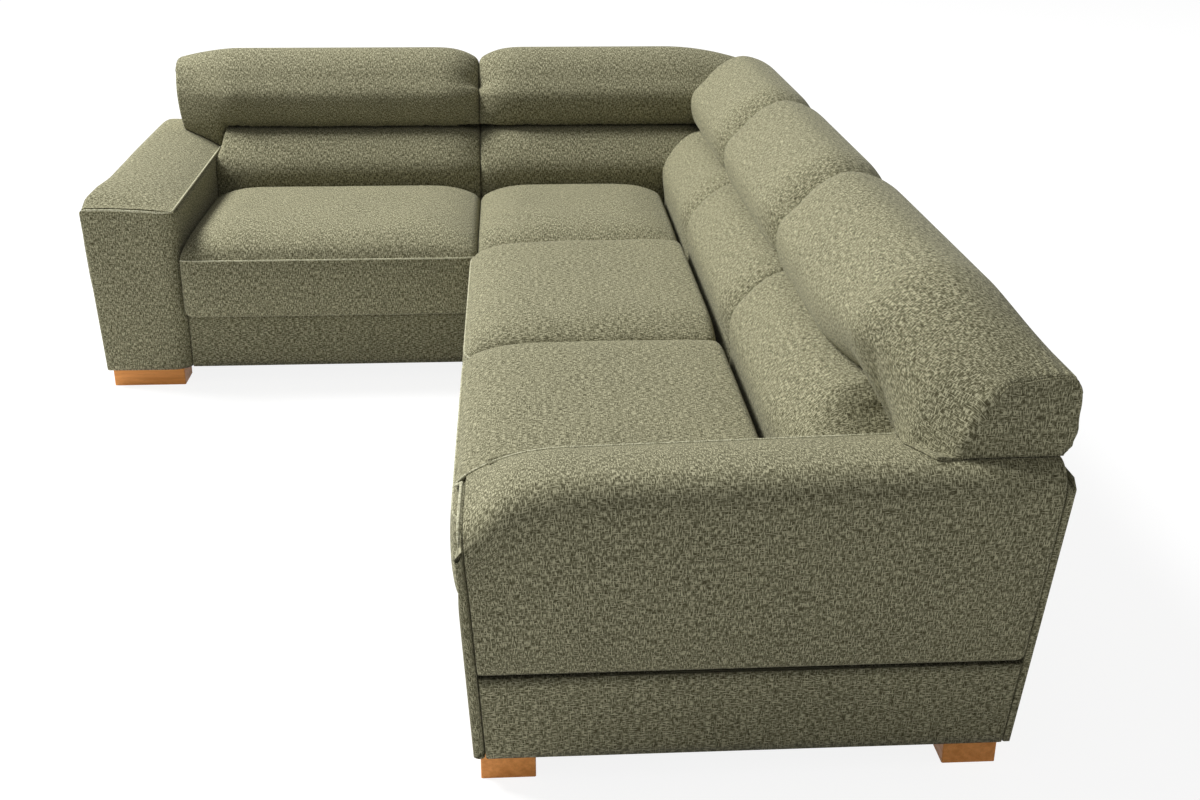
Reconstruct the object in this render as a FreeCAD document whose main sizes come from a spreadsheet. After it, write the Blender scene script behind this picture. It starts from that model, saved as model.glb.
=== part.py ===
"""Corner sofa in three modules, with four lift-off seat cushions.

The left wing runs along X and the right wing runs along Y towards the viewer.
The right wing's sections are the left wing's, mirrored over the corner's diagonal, so every
piece is placed by three numbers: along its wing, deep (front to back) and tall.
Along and deep are counted from the inner corner of the floor plan; the row frame's origin is
the centre of the whole sofa's floor outline.
"""
import FreeCAD, Part
import math
import os
import Sketcher

SIZES = {
    # overall plan, in millimetres
    "base_deep": 1000,
    "left_seat_wide": 892,
    "right_seat_wide": 870,
    "cushion_join": 20,
    "arm_wide": 257.5,
    # heights
    "foot_tall": 55,
    "groove_tall": 230,
    "seat_under": 230,
    "seat_seam_tall": 412,
    "seat_crown_tall": 490,
    "arm_seam_tall": 556,
    "arm_seam_rise": 24,
    "arm_crown": 46,
    "arm_shoulder": 60,
    "facing_crown": 10,
    "facing_corner": 18,
    "crease_tall": 652,
    "back_panel_tall": 597,
    "pillow_tall": 896,
    # lean of the outer faces, over the height from the feet to the arm seam
    "front_lean": 28,
    "side_lean": 14,
    "rear_rake": 49,
    # seat, lumbar pad and pillow, front to back
    "seat_proud": 39,
    "seat_rear": 597,
    "lumbar_front": 600,
    "crease_deep": 735,
    "pillow_front": 700,
    "pillow_rear": 1080,
    "left_pillow_over_arm": 158,
    "near_pillow_over_arm": 215,
    "pillow_end_short": 30,
    # walls, boards and clearances
    "panel_thick": 18,
    "rail_recess": 22,
    "facing_thick": 20,
    "facing_wrap": 60,
    "facing_radius": 45,
    "arm_pad_thick": 36,
    "back_panel_thick": 14,
    "board_thick": 18,
    "rail_thick": 25,
    "dust_cover_thick": 2,
    "deck_thick": 10,
    "cover_thick": 6,
    "cushion_gap": 0.4,
    "rest_gap": 0.3,
    "back_frame_front": 805,
    "back_frame_tilt": 45,
    "webbing_thick": 2,
    "webbing_wide": 60,
    # feet, bolts and springs
    "foot_along": 216,
    "foot_deep": 102,
    "foot_inset": 16,
    "foot_front": 11,
    "leg_radius": 25,
    "bolt_radius": 4,
    "bolt_up": 34,
    "bolt_down": 35,
    "wire_radius": 1.8,
    "clip_wall": 1.5,
    "spring_half_wide": 30,
    "spring_pitch": 150,
    "bracket_thick": 3,
}

PITCH_OF_TURNS = 41
SPRINGS_PER_SEAT = 5


def make_sheet(doc):
    """Spreadsheet with one named cell for every driving size."""
    sheet = doc.addObject("Spreadsheet::Sheet", "Sizes")
    for row, (name, size) in enumerate(SIZES.items(), start=1):
        sheet.set(f"A{row}", name)
        sheet.set(f"B{row}", str(size))
        sheet.setAlias(f"B{row}", name)
    return sheet


LAYOUT = {
    # places along a wing, from the inner corner
    "module_join": "Sizes.rail_recess + Sizes.panel_thick",
    "left_arm_in": "-Sizes.cushion_join - Sizes.left_seat_wide",
    "left_arm_out": "Layout.left_arm_in - Sizes.arm_wide",
    "near_arm_in": "-Sizes.cushion_join - 2 * Sizes.right_seat_wide",
    "near_arm_out": "Layout.near_arm_in - Sizes.arm_wide",
    "seat_split": "-Sizes.cushion_join - Sizes.right_seat_wide",
    # row frame: centre of the floor outline
    "centre_x": "(Sizes.pillow_rear + Layout.left_arm_out - Sizes.side_lean) / 2",
    "centre_y": "(Sizes.pillow_rear + Layout.near_arm_out - Sizes.side_lean) / 2",
    # heights
    "frame_under": "Sizes.foot_tall + Sizes.dust_cover_thick",
    "deck_under": "Sizes.seat_under - Sizes.deck_thick",
    "rail_top": "Layout.deck_under - 2 * Sizes.wire_radius - 2 * Sizes.clip_wall",
    "plank_top": "Sizes.crease_tall - 1",
    "lean_height": "Sizes.arm_seam_tall - Sizes.foot_tall",
    # slopes, per millimetre of height
    "front_slope": "Sizes.front_lean / Layout.lean_height",
    "side_slope": "Sizes.side_lean / Layout.lean_height",
    "rear_slope": "Sizes.rear_rake / Layout.lean_height",
    "tilt_slope": "Sizes.back_frame_tilt / (Sizes.crease_tall - Sizes.seat_under)",
    # depths
    "rail_front": "Sizes.rail_recess + Sizes.panel_thick",
    "seat_rail_back": "Sizes.back_frame_front - 80",
    "rear_rail_back": "Sizes.base_deep - Sizes.back_panel_thick - 6",
    "deck_back": "Sizes.back_frame_front - 5",
}


def make_layout(doc):
    """Places that follow from the driving sizes, each bound by an expression."""
    layout = doc.addObject("App::VarSet", "Layout")
    for name in LAYOUT:
        layout.addProperty("App::PropertyFloat", name, "Layout")
    for name, text in LAYOUT.items():
        layout.setExpression(name, text)
    doc.recompute()
    return layout


doc = FreeCAD.newDocument("corner_sofa")
sheet = make_sheet(doc)
layout = make_layout(doc)
nodes = []


def size(name):
    """Driving size of that name."""
    return float(sheet.get(name))


def at(name):
    """Worked-out place of that name."""
    return getattr(layout, name)


def keep(part, label):
    """Name a finished sub-part and put it on the list of nodes."""
    part.Label = label
    nodes.append(part)
    return part


def swap(wing, along, deep):
    """Order two values as X and Y for one wing."""
    return (along, deep) if wing == "left" else (deep, along)


def block(name, wing, along, deep, tall):
    """Box between pairs of expressions, along, deep and tall."""
    part = doc.addObject("Part::Box", name)
    (x_low, x_high), (y_low, y_high) = swap(wing, along, deep)
    part.setExpression("Length", f"({x_high}) - ({x_low})")
    part.setExpression("Width", f"({y_high}) - ({y_low})")
    part.setExpression("Height", f"({tall[1]}) - ({tall[0]})")
    part.setExpression("Placement.Base.x", f"{x_low} - Layout.centre_x")
    part.setExpression("Placement.Base.y", f"{y_low} - Layout.centre_y")
    part.setExpression("Placement.Base.z", tall[0])
    return part


def leaning(name, wing, tall, along, deep, along_top, deep_top):
    """Slab between two level rectangles, one low and one high, each a pair of pairs."""
    part = doc.addObject("Part::Wedge", name)
    low_x, low_y = swap(wing, along, deep)
    top_x, top_y = swap(wing, along_top, deep_top)
    part.setExpression("Xmin", low_x[0])
    part.setExpression("Xmax", low_x[1])
    part.setExpression("X2min", top_x[0])
    part.setExpression("X2max", top_x[1])
    part.setExpression("Zmin", f"-({low_y[1]})")
    part.setExpression("Zmax", f"-({low_y[0]})")
    part.setExpression("Z2min", f"-({top_y[1]})")
    part.setExpression("Z2max", f"-({top_y[0]})")
    part.setExpression("Ymin", tall[0])
    part.setExpression("Ymax", tall[1])
    part.Placement.Rotation = FreeCAD.Rotation(FreeCAD.Vector(1, 0, 0), 90)
    part.setExpression("Placement.Base.x", "-Layout.centre_x")
    part.setExpression("Placement.Base.y", "-Layout.centre_y")
    return part


def group(name, parts):
    """Several separate solids under one node."""
    part = doc.addObject("Part::Compound", name)
    part.Links = parts
    return keep(part, name)


def solid(name, shape):
    """Sub-part whose shape is worked out here from the sheet's values."""
    part = doc.addObject("Part::Feature", name)
    part.Shape = shape
    return part


def spot(wing, along, deep, tall):
    """Row-frame point of a place on a wing."""
    x, y = swap(wing, along, deep)
    return FreeCAD.Vector(x - at("centre_x"), y - at("centre_y"), tall)


def outline(to_point, path):
    """Closed wire through a path of corners; a pair (middle, end) is an arc."""
    start = path[0]
    edges = []
    for step in path[1:] + [start]:
        if isinstance(step[0], tuple):
            middle, end = step
            edges.append(Part.Arc(to_point(*start), to_point(*middle), to_point(*end)).toShape())
        else:
            end = step
            edges.append(Part.LineSegment(to_point(*start), to_point(*end)).toShape())
        start = end
    return Part.Wire(edges)


def rounding(start, end, level):
    """Arc step from start to end: level at its higher end, or else upright at its outer end."""
    (x1, z1), (x2, z2) = start, end
    square = (x2 - x1) ** 2 + (z2 - z1) ** 2
    if level:
        crest = end if z2 > z1 else start
        radius = square / (2 * abs(z2 - z1))
        centre = (crest[0], crest[1] - radius)
    else:
        outer = end if x2 > x1 else start
        radius = square / (2 * abs(x2 - x1))
        centre = (outer[0] - radius, outer[1])
    aim = (x1 + x2 - 2 * centre[0], z1 + z2 - 2 * centre[1])
    scale = radius / math.hypot(*aim)
    return (centre[0] + aim[0] * scale, centre[1] + aim[1] * scale), end


def loft_along(wing, stations, path_at):
    """Solid through upright sections at stations along a wing; a section's path is (deep, tall)."""
    wires = []
    for along in stations:
        wires.append(outline(lambda d, z: spot(wing, along, d, z), path_at(along)))
    return Part.makeLoft(wires, True, False)


def loft_deep(wing, stations, path_at):
    """Solid through upright sections at stations front to back; a section's path is (along, tall)."""
    wires = []
    for deep in stations:
        wires.append(outline(lambda a, z: spot(wing, a, deep, z), path_at(deep)))
    return Part.makeLoft(wires, True, False)


def prism_across(wing, along_low, along_high, profile):
    """Side profile of (deep, tall) corners, carried from one place along a wing to another."""
    face = Part.Face(outline(lambda d, z: spot(wing, along_low, d, z), profile))
    end = spot(wing, along_high, 0, 0) - spot(wing, along_low, 0, 0)
    return face.extrude(end)


def fullness(distance, reach):
    """0 at a pad's end, 1 once the given reach inside it, with a round shoulder."""
    if distance >= reach:
        return 1.0
    return 1.0 - (1.0 - distance / reach) ** 3


def stations_between(low, high, reach):
    """Section places of a pad: close together in both rounded ends, sparse between."""
    steps = [0, 0.08, 0.25, 0.55, 1.0]
    ends = [low + step * reach for step in steps]
    return ends + [(low + high) / 2] + [high - step * reach for step in reversed(steps)]


def mix(edge, middle, share):
    """Point between an edge value and a middle value, in both coordinates."""
    return tuple(a + (b - a) * share for a, b in zip(edge, middle))


# Seat cushions


SEAT_EDGE_REACH = 200
SEAT_EDGE_CROWN = 0.42
SEAT_CORNER_DRAW = 16


def seat_solid(wing, low, high, front, inset):
    """Box cushion: flat underside, bulged border, crowned top and drawn-in corners."""
    under = size("seat_under") + size("rest_gap") + inset
    seam = size("seat_seam_tall") - inset * 0.5
    crown = size("seat_crown_tall") - size("seat_seam_tall") - inset * 0.5
    back = size("seat_rear") - inset
    front = front + inset
    overhang = front < -size("cushion_join")
    bulge = 7 if overhang else 0

    def path(along):
        full = fullness(min(along - low - inset, high - inset - along), SEAT_EDGE_REACH)
        rise = crown * (SEAT_EDGE_CROWN + (1 - SEAT_EDGE_CROWN) * full)
        draw = SEAT_CORNER_DRAW * (1 - full) ** 3 if overhang else 0
        nose = front + draw
        tail = back - 6 * (1 - full) ** 3
        return [
            (nose + 4, under),
            ((nose - bulge, (under + seam) / 2), (nose, seam)),
            ((nose + 34, seam + rise * 0.46), (nose + 105, seam + rise * 0.78)),
            ((nose + 290, seam + rise), (nose + 455, seam + rise * 0.93)),
            ((tail - 60, seam + rise * 0.72), (tail, seam + rise * 0.30)),
            (tail, under),
        ]

    return loft_along(wing, stations_between(low + inset, high - inset, SEAT_EDGE_REACH), path)


def mitre(wing, set_back):
    """Prism over the front inner corner, past the diagonal where the two wings' seats meet."""
    reach = size("base_deep")
    plan = [(-set_back, 0), (reach, 0), (reach, -reach), (-set_back - reach, -reach)]
    wire = outline(lambda a, d: spot(wing, a, d, 0), plan)
    return Part.Face(wire).extrude(FreeCAD.Vector(0, 0, size("pillow_tall")))


def make_seat(label, wing, low, high, front):
    """Cover shell and foam core of one seat cushion."""
    gap = size("cushion_gap")
    outer = seat_solid(wing, low + gap, high - gap, front, 0)
    core = seat_solid(wing, low + gap, high - gap, front, size("cover_thick"))
    if front < -size("cushion_join") and high > -2 * size("cushion_join"):
        outer = outer.cut(mitre(wing, gap))
        core = core.cut(mitre(wing, gap + size("cover_thick") * math.sqrt(2)))
    keep(solid(f"{label}_seat_cover", outer.cut(core)), f"{label}_seat_cover")
    keep(solid(f"{label}_seat_core", core), f"{label}_seat_core")


def make_seats():
    join = -size("cushion_join")
    split = at("seat_split")
    make_seat("left", "left", at("left_arm_in"), join, -size("seat_proud"))
    make_seat("corner", "left", join, size("seat_rear"), join + 3 * size("cushion_gap"))
    make_seat("middle", "right", split, join, -size("seat_proud"))
    make_seat("near", "right", at("near_arm_in"), split, -size("seat_proud"))


# Backs: five lumbar pads and five pillows


LUMBAR_REACH = 150
LUMBAR_END_BACK = 24
LUMBAR_END_DROP = 17
PILLOW_REACH = 170
PILLOW_END_BACK = 50
PILLOW_END_DROP = 40
CORNER_END_REACH = 240
CORNER_PILLOW_STOP = 780


def frame_front(tall):
    """Front plane of the back frames, less the webbing on it."""
    rise = (tall - size("seat_under")) * at("tilt_slope")
    return size("back_frame_front") + rise - size("webbing_thick")


def lumbar_path(full):
    """Section of a lumbar pad: the full belly in the middle, drawn back at its ends."""
    front = size("lumbar_front")
    under = size("seat_under")
    crease = size("crease_tall")
    deep = size("crease_deep")
    back = (1 - full) * LUMBAR_END_BACK
    drop = (1 - full) * LUMBAR_END_DROP
    top = crease - 1
    return [
        (front + 12, under),
        (front + 10 + back * 0.5, under + 190),
        ((front + 2 + back, under + 275), (front + 40 + back, crease - 68 - drop)),
        ((front + 76 + back * 0.8, crease - 20 - drop), (deep + 4, top - drop)),
        (frame_front(top) - 20, top),
        (frame_front(top), top),
        (frame_front(under), under),
    ]


def make_lumbar(label, wing, low, high, trim=None):
    """One lumbar pad between two places along a wing."""
    gap = size("cushion_gap")
    low, high = low + gap, high - gap

    def path(along):
        return lumbar_path(fullness(min(along - low, high - along), LUMBAR_REACH))

    shape = loft_along(wing, stations_between(low, high, LUMBAR_REACH), path)
    if trim is not None:
        shape = shape.cut(trim)
    return keep(solid(f"{label}_lumbar_pad", shape), f"{label}_lumbar_pad")


def pillow_path(full):
    """Section of a top pillow, which overhangs the lumbar pad and the back panel."""
    front = size("pillow_front")
    top = size("pillow_tall")
    rear = size("pillow_rear")
    crease = size("crease_tall")
    back = (1 - full) * PILLOW_END_BACK
    drop = (1 - full) * PILLOW_END_DROP
    slim = (1 - full) * 14
    lip = size("back_panel_tall") + 2
    lip_front = rear - 36
    brow = (front + 45 + back, top - 80 - drop)
    crest = (front + 170, top - drop)
    nape = (rear - 36 - slim, top - 84 - drop)
    return [
        (size("crease_deep") + back * 0.1, crease),
        ((front + back, crease + 72), brow),
        rounding(brow, crest, True),
        rounding(crest, nape, True),
        rounding(nape, (rear - slim, top - 176), False),
        (rear - slim, top - 206),
        ((rear - 3 - slim, lip + 45), (rear - 12 - slim, lip)),
        (lip_front, lip),
        (lip_front - 6, crease),
    ]


def arm_end_path(share):
    """Section of a pillow over an arm; share runs from 0 at its end panel to 1 at the arm's inner face."""
    rear = size("pillow_rear")
    full = pillow_path(1.0)
    seat = size("arm_seam_tall") + 4
    lip = size("back_panel_tall") + 2
    lip_front = rear - 36
    end = [
        (848, seat),
        ((882, seat + 90), (937, seat + 176)),
        ((960, seat + 184), (985, seat + 187)),
        ((1030, seat + 187), (1062, seat + 178)),
        ((rear - 6, seat + 166), (rear - 3, seat + 150)),
        (rear - 2, seat + 130),
        ((rear - 4, seat + 80), (rear - 12, lip)),
        (lip_front, lip),
        (lip_front - 10, seat),
    ]
    blended = []
    for low, high in zip(end, full):
        if isinstance(low[0], tuple):
            blended.append((mix(low[0], high[0], share), mix(low[1], high[1], share)))
        else:
            blended.append(mix(low, high, share))
    return blended


def make_pillow(label, wing, low, high, over_arm=0, trims=(), end_reach=PILLOW_REACH):
    """One top pillow with a slot for its board; over_arm is how far its end runs out over an arm."""
    gap = size("cushion_gap")
    low, high = low + gap, high - gap
    reach = PILLOW_REACH
    stations = stations_between(low, high, reach)

    def path(along):
        if over_arm and along < low + over_arm + 60:
            return arm_end_path(fullness(along - low, over_arm + 60))
        end_full = fullness(high - along, end_reach)
        if over_arm:
            return pillow_path(end_full)
        return pillow_path(min(fullness(along - low, reach), end_full))

    if over_arm:
        span = over_arm + 60
        stations = [low + span * step for step in (0, 0.1, 0.28, 0.55, 1)] + stations[5:]
    if end_reach != reach:
        tail = [high - step * end_reach for step in (1.0, 0.55, 0.25, 0.08, 0)]
        stations = stations[:6] + tail
    shape = loft_along(wing, stations, path)
    for trim in trims:
        shape = shape.cut(trim)
    return keep(solid(f"{label}_pillow", shape), f"{label}_pillow")


BOARD_DEEP = 900
BOARD_TALL = 170
BOARD_SHY = 90


def pillow_board(wing, low, high):
    """Stiff board that stands on the plank inside a pillow."""
    foot = spot(wing, low, BOARD_DEEP, at("plank_top"))
    far = spot(wing, high, BOARD_DEEP + size("board_thick"), at("plank_top") + BOARD_TALL)
    spread = far - foot
    return Part.makeBox(abs(spread.x), abs(spread.y), spread.z, foot)


# Arms


def arm_point(wing, inner, across, deep, tall):
    """Row-frame point of an arm: across is counted outwards from its inner face."""
    return spot(wing, inner - across, deep, tall)


def shoulder_arc(wide, top):
    """Crest of an arm's dome and the quarter circle from it to the upright outer side."""
    radius = size("arm_shoulder")
    crest = (wide - radius, top)
    return crest, rounding(crest, (wide, top - radius), False)


def arm_top_path(inner, deep, crown):
    """Section of the pad over an arm: dome, round shoulder and the side panel down to the groove."""
    seam = size("arm_seam_tall") + size("arm_seam_rise") * deep / size("base_deep")
    wide = size("arm_wide") + size("side_lean")
    groove = size("groove_tall") + 2
    inside = size("arm_wide") - size("arm_pad_thick")
    facing = size("facing_thick") + 1
    frame = size("arm_seam_tall") - 52
    crest, shoulder = shoulder_arc(wide, seam + crown)
    path = [
        (0, seam),
        rounding((0, seam), crest, True),
        shoulder,
        (wide, seam - 190),
        rounding((wide, seam - 190), (wide - 11, groove), False),
        (inside, groove),
        (inside, frame),
        (facing, frame),
        (facing, seam),
    ]
    turned = []
    for step in path:
        if isinstance(step[0], tuple):
            turned.append(tuple((inner - across, tall) for across, tall in step))
        else:
            turned.append((inner - step[0], step[1]))
    return turned


def arm_profile(front, back):
    """Side profile of an arm between its facing and its back panel, both leaning."""
    low = size("foot_tall")
    high = size("pillow_tall")
    return [
        (front, low),
        (front - (high - low) * at("front_slope"), high),
        (back + (high - low) * at("rear_slope"), high),
        (back, low),
    ]


def make_arm_pad(label, wing, inner, facing):
    """Domed pad that covers the top of the arm and its side down to the groove."""
    crown = size("arm_crown")
    stations = [-60, 10, 60, 150, 300, 600, 900, 1000, 1090]
    crowns = [0.2, 0.35, 0.8, 0.98, 1, 1.04, 1, 0.97, 0.94]

    def path(deep):
        return arm_top_path(inner, deep, crown * crowns[stations.index(deep)])

    shape = loft_deep(wing, stations, path)
    front = size("facing_thick")
    back = size("base_deep") - size("back_panel_thick")
    outer = inner - 2 * size("arm_wide")
    trim = prism_across(wing, inner, outer, arm_profile(front, back))
    shape = shape.common(trim).cut(facing)
    keep(solid(f"{label}_arm_pad", shape), f"{label}_arm_pad")
    return shape


def make_arm_facing(label, wing, inner):
    """Front panel of an arm, square at its outer seam and rounded round its inner edge."""
    low = size("foot_tall")
    seam = size("arm_seam_tall")
    wide = size("arm_wide")
    lean = at("front_slope")
    side = at("side_slope")
    crown = seam + size("facing_crown")
    corner = size("facing_corner")

    def to_point(across, tall):
        return arm_point(wing, inner, across, -(tall - low) * lean, tall)

    top = wide + (seam - low) * side
    path = [
        (0, low),
        (0, seam),
        rounding((0, seam), (top * 0.5, crown), True),
        (top - corner, crown),
        rounding((top - corner, crown), (top, crown - corner), False),
        (wide, low),
    ]
    face = Part.Face(outline(to_point, path))
    inward = arm_point(wing, inner, 0, 1, 0) - arm_point(wing, inner, 0, 0, 0)
    body = face.extrude(inward * size("facing_wrap"))
    radius = size("facing_radius")
    middle = Part.Vertex(to_point(0, (low + seam) / 2))
    upright = [edge for edge in body.Edges if edge.distToShape(middle)[0] < 0.01]
    body = body.makeFillet(radius, upright)
    thick = size("facing_thick")
    hollow = prism_across(wing, inner - thick, inner - 2 * wide, [
        (thick, low - 1),
        (thick - (2 * seam - low) * lean, 2 * seam),
        (wide, 2 * seam),
        (wide, low - 1),
    ])
    body = body.cut(hollow)
    keep(solid(f"{label}_arm_facing", body), f"{label}_arm_facing")
    return body


def make_arm_inner(label, wing, inner):
    """Padded panel on the seat side of an arm, from its wrapped facing to the back panel."""
    low = at("frame_under")
    seam = size("arm_seam_tall")
    rise = size("arm_seam_rise")
    deep = size("base_deep")
    front = size("facing_wrap")
    back = deep - size("back_panel_thick")
    lean = at("front_slope")
    rake = at("rear_slope")
    front_top = front - (seam - size("foot_tall")) * lean
    back_top = back + (seam + rise - size("foot_tall")) * rake
    profile = [
        (front - (low - size("foot_tall")) * lean, low),
        (front_top, seam + rise * front_top / deep),
        (back_top, seam + rise * back_top / deep),
        (back + (low - size("foot_tall")) * rake, low),
    ]
    shape = prism_across(wing, inner, inner - size("facing_thick"), profile)
    keep(solid(f"{label}_arm_inner_panel", shape), f"{label}_arm_inner_panel")


def make_arm_base_panel(label, wing, inner_name):
    """Flat outer panel below the pad's groove."""
    wall = "Sizes.arm_pad_thick"
    out_low = f"Layout.{inner_name} - Sizes.arm_wide"
    lift = "(Sizes.groove_tall - Sizes.foot_tall)"
    out_top = f"{out_low} - {lift} * Layout.side_slope"
    front = "Sizes.facing_thick"
    back = "Sizes.base_deep - Sizes.back_panel_thick"
    part = leaning(
        f"{label}_arm_base_panel", wing,
        ("Sizes.foot_tall", "Sizes.groove_tall"),
        (out_low, f"{out_low} + {wall}"),
        (front, back),
        (out_top, f"{out_top} + {wall}"),
        (f"{front} - {lift} * Layout.front_slope", f"{back} + {lift} * Layout.rear_slope"),
    )
    keep(part, part.Name)


def make_arm_frame(label, wing, inner_name):
    """Five timber boards and two foot blocks inside an arm."""
    inner = f"Layout.{inner_name}"
    skin = f"{inner} - Sizes.facing_thick"
    outer = f"{inner} - Sizes.arm_wide + Sizes.arm_pad_thick"
    board = "Sizes.board_thick"
    front = "Sizes.facing_thick"
    back = "Sizes.base_deep - Sizes.back_panel_thick"
    low = "Layout.frame_under"
    high = "Sizes.arm_seam_tall - 52"
    under = f"{high} - {board}"
    boards = [
        block(f"{label}_arm_inner_board", wing, (f"{skin} - {board}", skin), (front, back), (low, under)),
        block(f"{label}_arm_outer_board", wing, (outer, f"{outer} + {board}"), (front, back), (low, under)),
        block(f"{label}_arm_top_board", wing, (outer, skin), (front, back), (under, high)),
        block(f"{label}_arm_front_board", wing, (f"{outer} + {board}", f"{skin} - {board}"),
              (front, f"{front} + {board}"), (low, under)),
        block(f"{label}_arm_rear_board", wing, (f"{outer} + {board}", f"{skin} - {board}"),
              (f"{back} - {board}", back), (low, under)),
    ]
    first = f"{front} + {board}"
    last = f"{back} - {board}"
    spans = ((first, f"{first} + Sizes.foot_deep"), (f"{last} - Sizes.foot_deep", last))
    for count, span in enumerate(spans, start=1):
        timber = block(f"{label}_arm_foot_block_{count}", wing,
                       (f"{outer} + {board}", f"{skin} - {board}"), span, (low, f"{low} + 40"))
        boards.append(bored(timber, f"{label}_arm_foot_block_{count}_bored"))
    return group(f"{label}_arm_frame", boards)


# Feet, legs and their bolts


def foot_spots():
    """Foot name, wing and the low corner of its plan (along, deep) as expressions."""
    front = "Sizes.foot_front"
    rear = "Sizes.base_deep - Sizes.foot_front - 8 - Sizes.foot_deep"
    left = "Layout.left_arm_out + Sizes.foot_inset"
    near = "Layout.near_arm_out + Sizes.foot_inset"
    corner = "Sizes.base_deep - Sizes.foot_inset - Sizes.foot_along"
    return {
        "left_arm_front_foot": ("left", left, front),
        "left_arm_rear_foot": ("left", left, rear),
        "near_arm_front_foot": ("right", near, front),
        "near_arm_rear_foot": ("right", near, rear),
        "corner_rear_foot": ("left", corner, rear),
    }


def leg_spots():
    """Centres of the hidden round legs under the module ends (wing, along, deep)."""
    front = "Layout.rail_front + Sizes.rail_thick + 45"
    rear = "Layout.rear_rail_back - Sizes.rail_thick - 45"
    beside = "Layout.module_join - Sizes.rail_thick - 45"
    inside = "Layout.module_join + Sizes.rail_thick + 45"
    middle = "Layout.seat_split + Sizes.rail_thick + 45"
    return [
        ("left", beside, front), ("left", beside, rear),
        ("left", inside, "Layout.module_join + Sizes.rail_thick + 45"),
        ("right", beside, front), ("right", beside, rear),
        ("right", middle, front), ("right", middle, rear),
    ]


def bolt_spots():
    """Every bolt's place in the plan, as pairs of X and Y expressions from the inner corner."""
    spots = []
    for wing, along, deep in foot_spots().values():
        spots.append(swap(wing, f"{along} + Sizes.foot_along / 2", f"{deep} + Sizes.foot_deep / 2"))
    for wing, along, deep in leg_spots():
        spots.append(swap(wing, along, deep))
    return spots


def bolt_cylinder(name, spot_text, clearance="0"):
    """Upright cylinder at a bolt's place."""
    part = doc.addObject("Part::Cylinder", name)
    part.setExpression("Radius", f"Sizes.bolt_radius + {clearance}")
    part.setExpression("Height", "Sizes.bolt_up + Sizes.bolt_down")
    part.setExpression("Placement.Base.x", f"{spot_text[0]} - Layout.centre_x")
    part.setExpression("Placement.Base.y", f"{spot_text[1]} - Layout.centre_y")
    part.setExpression("Placement.Base.z", "Sizes.foot_tall - Sizes.bolt_down")
    return part


def make_bolt_holes():
    """One compound of bolt-sized cylinders, which every bored piece is cut with."""
    cylinders = [bolt_cylinder(f"bolt_hole_{count}", place) for count, place in enumerate(bolt_spots(), 1)]
    holes = doc.addObject("Part::Compound", "bolt_holes")
    holes.Links = cylinders
    return holes


def bored(base, name):
    """Piece with the bolt holes cut through it."""
    part = doc.addObject("Part::Cut", name)
    part.Base = base
    part.Tool = bolt_holes
    return part


def make_bolts():
    bolts = [bolt_cylinder(f"foot_bolt_{count}", place) for count, place in enumerate(bolt_spots(), 1)]
    group("foot_bolts", bolts)


def sketch_rectangle(body, name, length, width):
    """Rectangle from the sketch's origin, on the body's level plane, with bound sides."""
    plane = next(item for item in body.Origin.OriginFeatures if item.Role == "XY_Plane")
    sketch = body.newObject("Sketcher::SketchObject", name)
    sketch.AttachmentSupport = (plane, [""])
    sketch.MapMode = "FlatFace"
    corners = [FreeCAD.Vector(0, 0, 0), FreeCAD.Vector(100, 0, 0),
               FreeCAD.Vector(100, 50, 0), FreeCAD.Vector(0, 50, 0)]
    for count in range(4):
        sketch.addGeometry(Part.LineSegment(corners[count], corners[(count + 1) % 4]), False)
    constrain_rectangle(sketch)
    sketch.setExpression("Constraints.length", length)
    sketch.setExpression("Constraints.width", width)
    return sketch


def constrain_rectangle(sketch):
    """Join, square and size the four sides."""
    for count in range(4):
        sketch.addConstraint(Sketcher.Constraint("Coincident", count, 2, (count + 1) % 4, 1))
    sketch.addConstraint(Sketcher.Constraint("Horizontal", 0))
    sketch.addConstraint(Sketcher.Constraint("Vertical", 1))
    sketch.addConstraint(Sketcher.Constraint("Horizontal", 2))
    sketch.addConstraint(Sketcher.Constraint("Vertical", 3))
    sketch.addConstraint(Sketcher.Constraint("Coincident", 0, 1, -1, 1))
    length = sketch.addConstraint(Sketcher.Constraint("DistanceX", 0, 1, 0, 2, 100.0))
    sketch.renameConstraint(length, "length")
    width = sketch.addConstraint(Sketcher.Constraint("DistanceY", 1, 1, 1, 2, 50.0))
    sketch.renameConstraint(width, "width")


FOOT_EDGE = 3


def make_foot(name, wing, along, deep):
    """Oak block: a padded rectangle with eased upright edges and a blind bolt hole."""
    body = doc.addObject("PartDesign::Body", f"{name}_body")
    long_x, long_y = swap(wing, "Sizes.foot_along", "Sizes.foot_deep")
    sketch = sketch_rectangle(body, f"{name}_plan", long_x, long_y)
    pad = body.newObject("PartDesign::Pad", f"{name}_pad")
    pad.Profile = sketch
    pad.setExpression("Length", "Sizes.foot_tall")
    doc.recompute()
    upright = []
    for count, edge in enumerate(pad.Shape.Edges, start=1):
        ends = [vertex.Point for vertex in edge.Vertexes]
        if abs(ends[0].z - ends[1].z) > 1:
            upright.append(f"Edge{count}")
    fillet = body.newObject("PartDesign::Fillet", f"{name}_edges")
    fillet.Base = (pad, upright)
    fillet.Radius = FOOT_EDGE
    low_x, low_y = swap(wing, along, deep)
    body.setExpression("Placement.Base.x", f"{low_x} - Layout.centre_x")
    body.setExpression("Placement.Base.y", f"{low_y} - Layout.centre_y")
    keep(bored(body, name), name)


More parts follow.
